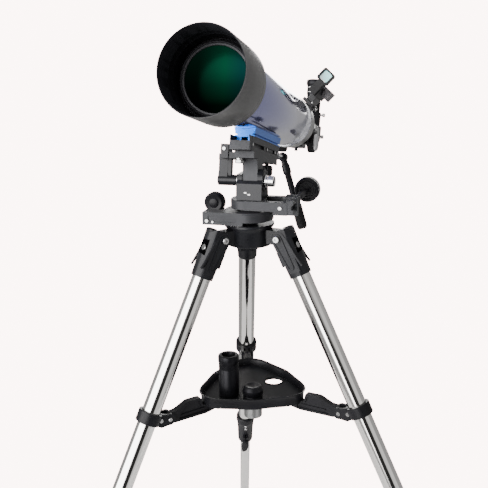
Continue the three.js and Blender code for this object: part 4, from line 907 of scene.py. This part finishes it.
# ---------- star diagonal and eyepiece ----------
# A black prism housing turns the light up into the eyepiece, which a thumbscrew holds.
up_way = axis("eyepiece_lift")
diagonal = place(point("diagonal_turn"), tilt_y.cross(up_way), tilt_y, up_way)
prism = [(-22, -20), (-22, 22), (22, 22), (22, -4), (6, -20)]
prism_housing = total([rod("y", BARREL_R, -52, -20, sides=80), rod("y", 19, -32.7, -18, sides=80),
                       plate(prism, -20, 20, "x"), rod("z", 20, 20, 52, sides=80)])
prism_housing = (prism_housing - rod("z", BARREL_R + 0.3, 22, 60, sides=80) - rod("y", 12.5, -60, 0,
                 sides=64) - rod("z", 12.5, 0, 40, sides=64))
made("diagonal_housing", prism_housing, diagonal, black_cast, "diagonal", "star_diagonal", 0.8,
     slot="black_plastic")
made("diagonal_thumbscrew", rod("x", 2.2, 18.5, 27, (0, 47)) + rod("x", 4.2, 24, 30, (0, 47), edge=0.6),
     diagonal, bright_bolt, "diagonal", edge=0, slot="chrome")
ocular = lathed([(12, 24), (BARREL_R, 24), (BARREL_R, 52.3), (16.4, 52.3), (17, 53)]
                + grip_rings(17, 56, 76, 8, 0.6) + [(16.8, 78), (16, 80), (16, 92), (17, 94), (17, 111),
                (17.6, 113), (19, 115), (19.5, 117), (19.5, 124), (18.6, 125.6), (15, 127), (13, 126.4),
                (11, 123.6), (0, 123), (0, 108), (12, 108)], 96)
made("eyepiece_barrel", ocular, diagonal, black_anodised, "ocular", "eyepiece", 0, 40, "black_plastic")
lines = total([lathed([(17.05, z), (17.2, z), (17.2, z + 1.1), (17.05, z + 1.1)], 96)
               & block(-12, 6, -30, 0, z - 1, z + 2) for z in (97, 108)])
made("eyepiece_index_lines", lines, diagonal, index_white, "ocular", edge=0, slot="black_plastic")

# ---------- finder ----------
# A red-dot finder on a foot screwed to the tube: a black body, a rounded window frame with
# cyan-coated glass, and a grey battery block to the right.
swing = radians(43)
finder = place(optics @ Vector((0, 0, 0)), mount_x * cos(swing) - tilt_z * sin(swing), tilt_y,
               mount_x * sin(swing) + tilt_z * cos(swing))
BASE_Z = 74.7
WINDOW_Z = BASE_Z + 41


def rounded_square(half, corner, z):
    c = half - corner
    return (arc(c, z + c, corner, 0, 90) + arc(-c, z + c, corner, 90, 180) + arc(-c, z - c, corner, 180, 270)
            + arc(c, z - c, corner, 270, 360))


foot_form = total([block(-11, 11, 302, 366, 52.4, 59.4), block(-7, 7, 312, 356, 58.4, 74.4)])
foot_form = foot_form - rod("y", 51.2, 290, 380, sides=128)
made("finder_foot", foot_form, finder, black_cast, "tube", "finder_bracket", 0.7, slot="black_plastic")
made("finder_foot_screws", rod("x", 2.2, 10, 15, (334, 55.9)) + rod("x", 4.4, 14, 19, (334, 55.9), edge=0.6)
     + rod("z", 2.6, 59, 61.6, (9, 306)), finder, bright_bolt, "tube", edge=0, slot="chrome")
window = (plate(rounded_square(13.2, 4.6, WINDOW_Z), 269.4, 281) - plate(rounded_square(9.6, 3.2, WINDOW_Z),
          260, 300))
finder_shape = total([block(-9, 9, 282, 356, BASE_Z, BASE_Z + 14), block(-8, 8, 272, 292, BASE_Z,
                     BASE_Z + 31), window, block(-7, 7, 292, 318, BASE_Z + 13, BASE_Z + 22)])
finder_shape = (finder_shape
                - total([block(-10, 10, 296 + 6 * i, 298 + 6 * i, BASE_Z + 16,
                               BASE_Z + 24) for i in range(3)]))
made("finder_housing", finder_shape, finder, plastic, "tube", "finder_body", 0.8, slot="black_plastic")
mauve = cast_finish("grey_battery_cover", (0.10, 0.095, 0.10), (0.15, 0.14, 0.15), 0.42, 1200, 0.3, 0.3)
made("finder_battery_block", block(-4, 22, 318, 350, BASE_Z + 8, BASE_Z + 28)
     + rod("y", 6, 350, 355, (12, BASE_Z + 18), edge=0.8), finder, mauve, "tube", edge=1.2,
     slot="black_plastic")
# The window colour is painted light: a painted reflection that brightens from dark teal to pale cyan across
# the glass, and a painted cyan glow from its emission.
window_painted_light = Finish("cyan_finder_pane_painted_light", Roughness=0.05, Coat_Weight=0.6, Coat_Roughness=0.02)
PANE_REACH = 0.011
across_pane = far_along(window_painted_light, finder @ Vector((0, 275, WINDOW_Z)), mount_x / PANE_REACH)
window_painted_light.set(Base_Color=window_painted_light.ramp(across_pane * 0.5 + 0.5, (0.15, (0.02, 0.13, 0.14)),
                              (0.45, (0.05, 0.34, 0.35)), (0.85, (0.12, 0.50, 0.51))),
         Emission_Color=(0.45, 0.9, 0.9), Emission_Strength=0.12)
made("finder_window_glass", plate(rounded_square(9.5, 3.2, WINDOW_Z), 273, 276.5), finder, window_painted_light, "tube",
     "finder_glass", 0, slot="finder_window")

# ---------- studio ----------
# A plain pale floor under the tripod in a white studio. The surround is brightest at the front
# left and dark where the camera stands. The camera itself sees an evenly bright backdrop.
FLOOR_R, FLOOR_MIDDLE, BACKDROP = 800, -0.35, 10.5
floor_finish = Finish("pale_floor", Base_Color=(0.86, 0.85, 0.845), Roughness=0.85)
floor_form = lathed([(0, -6), (FLOOR_R - 2, -6), (FLOOR_R, -4), (FLOOR_R, -2), (FLOOR_R - 2, 0), (0, 0)], 160)
floor_mesh = floor_form.moved(Matrix.Translation((0, FLOOR_MIDDLE, 0)) @ Matrix.Scale(MM, 4)).mesh
floor_mesh.materials.append(floor_finish.material)
floor = bpy.data.objects.new("floor", floor_mesh)
bpy.context.scene.collection.objects.link(floor)

world = bpy.data.worlds.new("studio surround")
bpy.context.scene.world = world
world.use_nodes = True
sky = Nodes(world.node_tree)
direction = sky.node("ShaderNodeTexCoord", {}, {}, "Generated")
split = sky.node("ShaderNodeSeparateXYZ", {}, {0: direction})
sky_x, sky_y, sky_z = (Link(sky, output) for output in split.socket.node.outputs)


def degrees(operation, *values):
    turned = sky.node("ShaderNodeMath", {"operation": operation}, dict(enumerate(values)))
    return turned * (180 / pi)


FRONT = degrees("ARCTAN2", sky_x, sky_y * -1.0)
BACK_WAY = degrees("ARCTAN2", sky_x, sky_y)
RISE = degrees("ARCSINE", sky_z)


def step(value, start, end):
    return sky.node("ShaderNodeMapRange", {"interpolation_type": "SMOOTHSTEP"}, {0: value, 1: start, 2: end})


def patch(across, low, high, bottom, top, soft):
    """1 inside a window of directions and 0 outside, with soft edges, in degrees"""
    wide = step(across, low - soft, low + soft) * (1.0 - step(across, high - soft, high + soft))
    tall = step(RISE, bottom - soft, bottom + soft) * (1.0 - step(RISE, top - soft, top + soft))
    return wide * tall


glow = 0.45 + 0.5 * step(RISE, 0, 50)
for zone, level in ((patch(FRONT, -82, -12, -15, 34, 4), 12.0), (patch(FRONT, 30, 70, -44, 20, 6), 1.0),
                    (patch(BACK_WAY, -20, 15, -4, 8, 1.5), 9.0), (patch(BACK_WAY, 13.5, 25, 0.2, 4.6, 0.7),
                    0.02), (patch(BACK_WAY, 9, 21, -32, -26, 1), 0.05), (patch(FRONT, -8, 28, -90, 8, 3),
                    0.03), (patch(FRONT, -6, 6, 8, 88, 2), 0.03)):
    glow = glow * (1.0 - zone) + zone * level
seen = sky.node("ShaderNodeLightPath", {}, {}, "Is Camera Ray")
glow = glow * (1.0 - seen) + seen * BACKDROP
background = sky.tree.nodes["Background"]
sky_colour = sky.node("ShaderNodeMix", {"data_type": "RGBA"}, {0: seen, 6: (1, 0.985, 0.975, 1),
                      7: (1, 0.80, 0.76, 1)}, 2)
sky.fill(background.inputs["Color"], sky_colour)
sky.fill(background.inputs["Strength"], glow)


def softbox(name, where, target, size, power):
    light = bpy.data.lights.new(name, "AREA")
    light.shape, light.size, light.size_y = "RECTANGLE", *size
    light.energy = power
    lamp = bpy.data.objects.new(name, light)
    lamp.visible_glossy = False
    aim = (Vector(target) - Vector(where)).to_track_quat("-Z", "Y")
    lamp.matrix_world = Matrix.Translation(where) @ aim.to_matrix().to_4x4()
    bpy.context.scene.collection.objects.link(lamp)


MIDDLE = (0, 0, 0.85)
softbox("key from above left", (-1.4, -1.0, 2.6), MIDDLE, (1.4, 1.2), 10)
softbox("fill from the right", (2.2, -0.8, 1.5), MIDDLE, (1.2, 1.8), 6)
